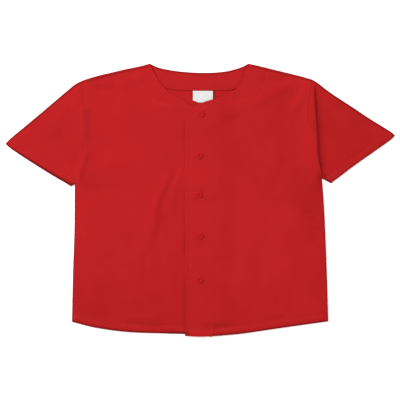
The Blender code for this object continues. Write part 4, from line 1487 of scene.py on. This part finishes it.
def make_lights():
    for name, place, size, power in LIGHTS:
        make_light(name, place, size, power)
    world = bpy.data.worlds.new("studio")
    world.use_nodes = True
    background = world.node_tree.nodes["Background"]
    background.inputs["Color"].default_value = (1.0, 1.0, 1.0, 1.0)
    background.inputs["Strength"].default_value = SURROUNDING_LIGHT
    bpy.context.scene.world = world
    bpy.context.scene.view_settings.view_transform = "Standard"


def make_camera():
    """Straight above the jersey, with the photograph's framing."""
    lens = bpy.data.cameras.new("camera")
    lens.lens = LENS
    lens.sensor_width = SENSOR_WIDTH
    camera = bpy.data.objects.new("camera", lens)
    height = VIEW_WIDTH * LENS / SENSOR_WIDTH
    camera.location = Vector((*VIEW_MIDDLE, height)) * MM
    bpy.context.scene.collection.objects.link(camera)
    bpy.context.scene.camera = camera


def button_disc(material):
    """A turned disc with a rim round a dished face."""
    shape = bmesh.new()
    line = [shape.verts.new((radius, 0.0, height)) for radius, height in BUTTON_PROFILE]
    edges = [shape.edges.new(pair) for pair in zip(line, line[1:])]
    bmesh.ops.spin(
        shape, geom=line + edges, axis=(0, 0, 1), cent=(0, 0, 0),
        angle=math.tau, steps=BUTTON_SIDES, use_merge=True,
    )
    bmesh.ops.remove_doubles(shape, verts=shape.verts, dist=MERGE)
    return bmesh_object("button_disc", shape, material)


def button_drills(material):
    drills = bmesh.new()
    for across in (-HOLE_OFFSET, HOLE_OFFSET):
        for along in (-HOLE_OFFSET, HOLE_OFFSET):
            bmesh.ops.create_cone(
                drills, cap_ends=True, segments=HOLE_SIDES, radius1=HOLE_RADIUS, radius2=HOLE_RADIUS,
                depth=2 * BUTTON_THICKNESS, matrix=Matrix.Translation((across, along, BUTTON_THICKNESS / 2)),
            )
    return bmesh_object("button_drills", drills, material)


def bmesh_object(name, shape, material):
    bmesh.ops.recalc_face_normals(shape, faces=shape.faces)
    bmesh.ops.scale(shape, vec=(MM, MM, MM), verts=shape.verts)
    mesh = bpy.data.meshes.new(name)
    shape.to_mesh(mesh)
    shape.free()
    mesh.shade_smooth()
    mesh.materials.append(material)
    piece = bpy.data.objects.new(name, mesh)
    bpy.context.scene.collection.objects.link(piece)
    return piece


def button_mesh(material):
    disc, drills = button_disc(material), button_drills(material)
    cut = disc.modifiers.new("holes", "BOOLEAN")
    cut.operation = "DIFFERENCE"
    cut.object = drills
    bpy.context.view_layer.update()
    mesh = bpy.data.meshes.new_from_object(disc.evaluated_get(bpy.context.evaluated_depsgraph_get()))
    mesh.set_sharp_from_angle(angle=BUTTON_SHARP)
    for helper in (disc, drills):
        bpy.data.objects.remove(helper, do_unlink=True)
    return mesh


def make_buttons(material, thread):
    mesh = button_mesh(material)
    bar = capsule(*THREAD_BAR)
    bars = []
    for number, button in enumerate(BUTTONS, start=1):
        level, turn = button_level(number), math.radians(button.turn)
        piece = bpy.data.objects.new(f"jersey_button_{number}", mesh.copy())
        piece.location = Vector((button.x, button.y, level)) * MM
        piece.rotation_euler.z = turn
        bpy.context.scene.collection.objects.link(piece)
        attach(piece, "root")
        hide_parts(f"button_{number}")
        along = np.array((math.cos(turn), math.sin(turn), 0.0))
        across = np.array((-along[1], along[0], 0.0))
        centre = np.array((button.x, button.y, level + DISHED_HEIGHT + THREAD_BAR[2] * 0.6))
        centres = [centre + side * HOLE_OFFSET * across for side in (-1, 1)]
        bars.append(stitch_copies(bar, np.array(centres), np.array((along, along))))
    points, faces = merged(bars)
    threads = make_plain_object("button_threads", points, triangles_kept(faces), thread)
    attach(threads, "root")


def grid_area(grid):
    """The area inside a grid's border, in square metres."""
    plan = grid.reshape(-1, 2)[border(*grid.shape[:2])]
    following = np.roll(plan, -1, axis=0)
    return abs(np.sum(plan[:, 0] * following[:, 1] - plan[:, 1] * following[:, 0])) / 2 * MM**2


def declare(piece, node):
    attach(piece, "root")
    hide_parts(node)


def make_panel(panel, material, slot, rests_on):
    """One flat piece with the sewing in its upper face, attached to the root, and the sizes of it as a sheet of its own
    cut.
    """
    under = panel.layer(panel.grid)[0]
    top = upper_face(panel.name, panel.layer, panel.grid)
    piece = make_object(f"cloth_{panel.name}", panel.name, *panel_shell(panel.grid, top, under), material)
    declare(piece, panel.name)
    size = (panel.grid.reshape(-1, 2).max(axis=0) - panel.grid.reshape(-1, 2).min(axis=0)) * MM
    return piece, dict(flat=tuple(size), held="laid", rests_on=rests_on, area=grid_area(panel.grid))


def make_sleeve(side, material):
    grid = sleeve_grid(side)
    name = f"sleeve_{side.name}"
    under = top_layer(grid)[0]
    outer_top = upper_face(name, top_layer, grid)
    crease = np.maximum(folds(grid, BACK_CREASE_LINES), 0.0)
    shell = tube_shell(tucked(grid), (outer_top, crease), (under, crease + WALL))
    along = side.overarm[-1][1] - side.overarm[0][1], side.overarm[-1][0] - side.overarm[0][0]
    piece = make_object(f"cloth_{name}", name, *shell, material, grain=math.atan2(*along))
    declare(piece, name)
    armhole = along_line(curve_through(side.armhole))[-1] * 2 * MM
    overarm = along_line(curve_through(side.overarm))[-1] * MM
    return piece, dict(flat=(armhole, overarm), held="laid", rests_on=["floor"], area=2 * grid_area(grid))


def dress():
    red = cloth_material("jersey_knit", CLOTH_DARKER, CLOTH_LIGHTER, 1.1 * MM, 0.08)
    white = label_material()
    thread = thread_material()
    panels = (
        (Panel("back_panel", back_grid(), back_layer), red, "cloth", ["floor"]),
        (Panel("front_right", right_front_grid(), right_front_layer), red, "cloth", ["back_panel"]),
        (Panel("front_left", left_front_grid(), left_front_layer), red, "cloth", ["back_panel"]),
        (Panel("placket_right", under_placket_grid(), under_placket_layer), red, "cloth", ["back_panel"]),
        (Panel("placket_left", top_placket_grid(), top_placket_layer), red, "cloth", ["placket_right"]),
        (Panel("back_neck_facing", facing_grid(), facing_layer), red, "cloth", ["back_panel"]),
        (Panel("neck_label", label_grid(), facing_layer), white, "label", ["back_panel"]),
    )
    sheets = [(panel[0].name, *make_panel(*panel)) for panel in panels]
    sheets += [(f"sleeve_{side.name}", *make_sleeve(side, red)) for side in (RIGHT_SIDE, LEFT_SIDE)]
    sewn = {row.piece for row in ROWS}
    for name, piece, sheet in sheets:
        if name in sewn:
            stitches = make_stitches(f"stitches_{name}", name, thread)
            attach(stitches, "root")
    make_buttons(button_material(), thread)


dress()
make_floor()
make_lights()
make_camera()
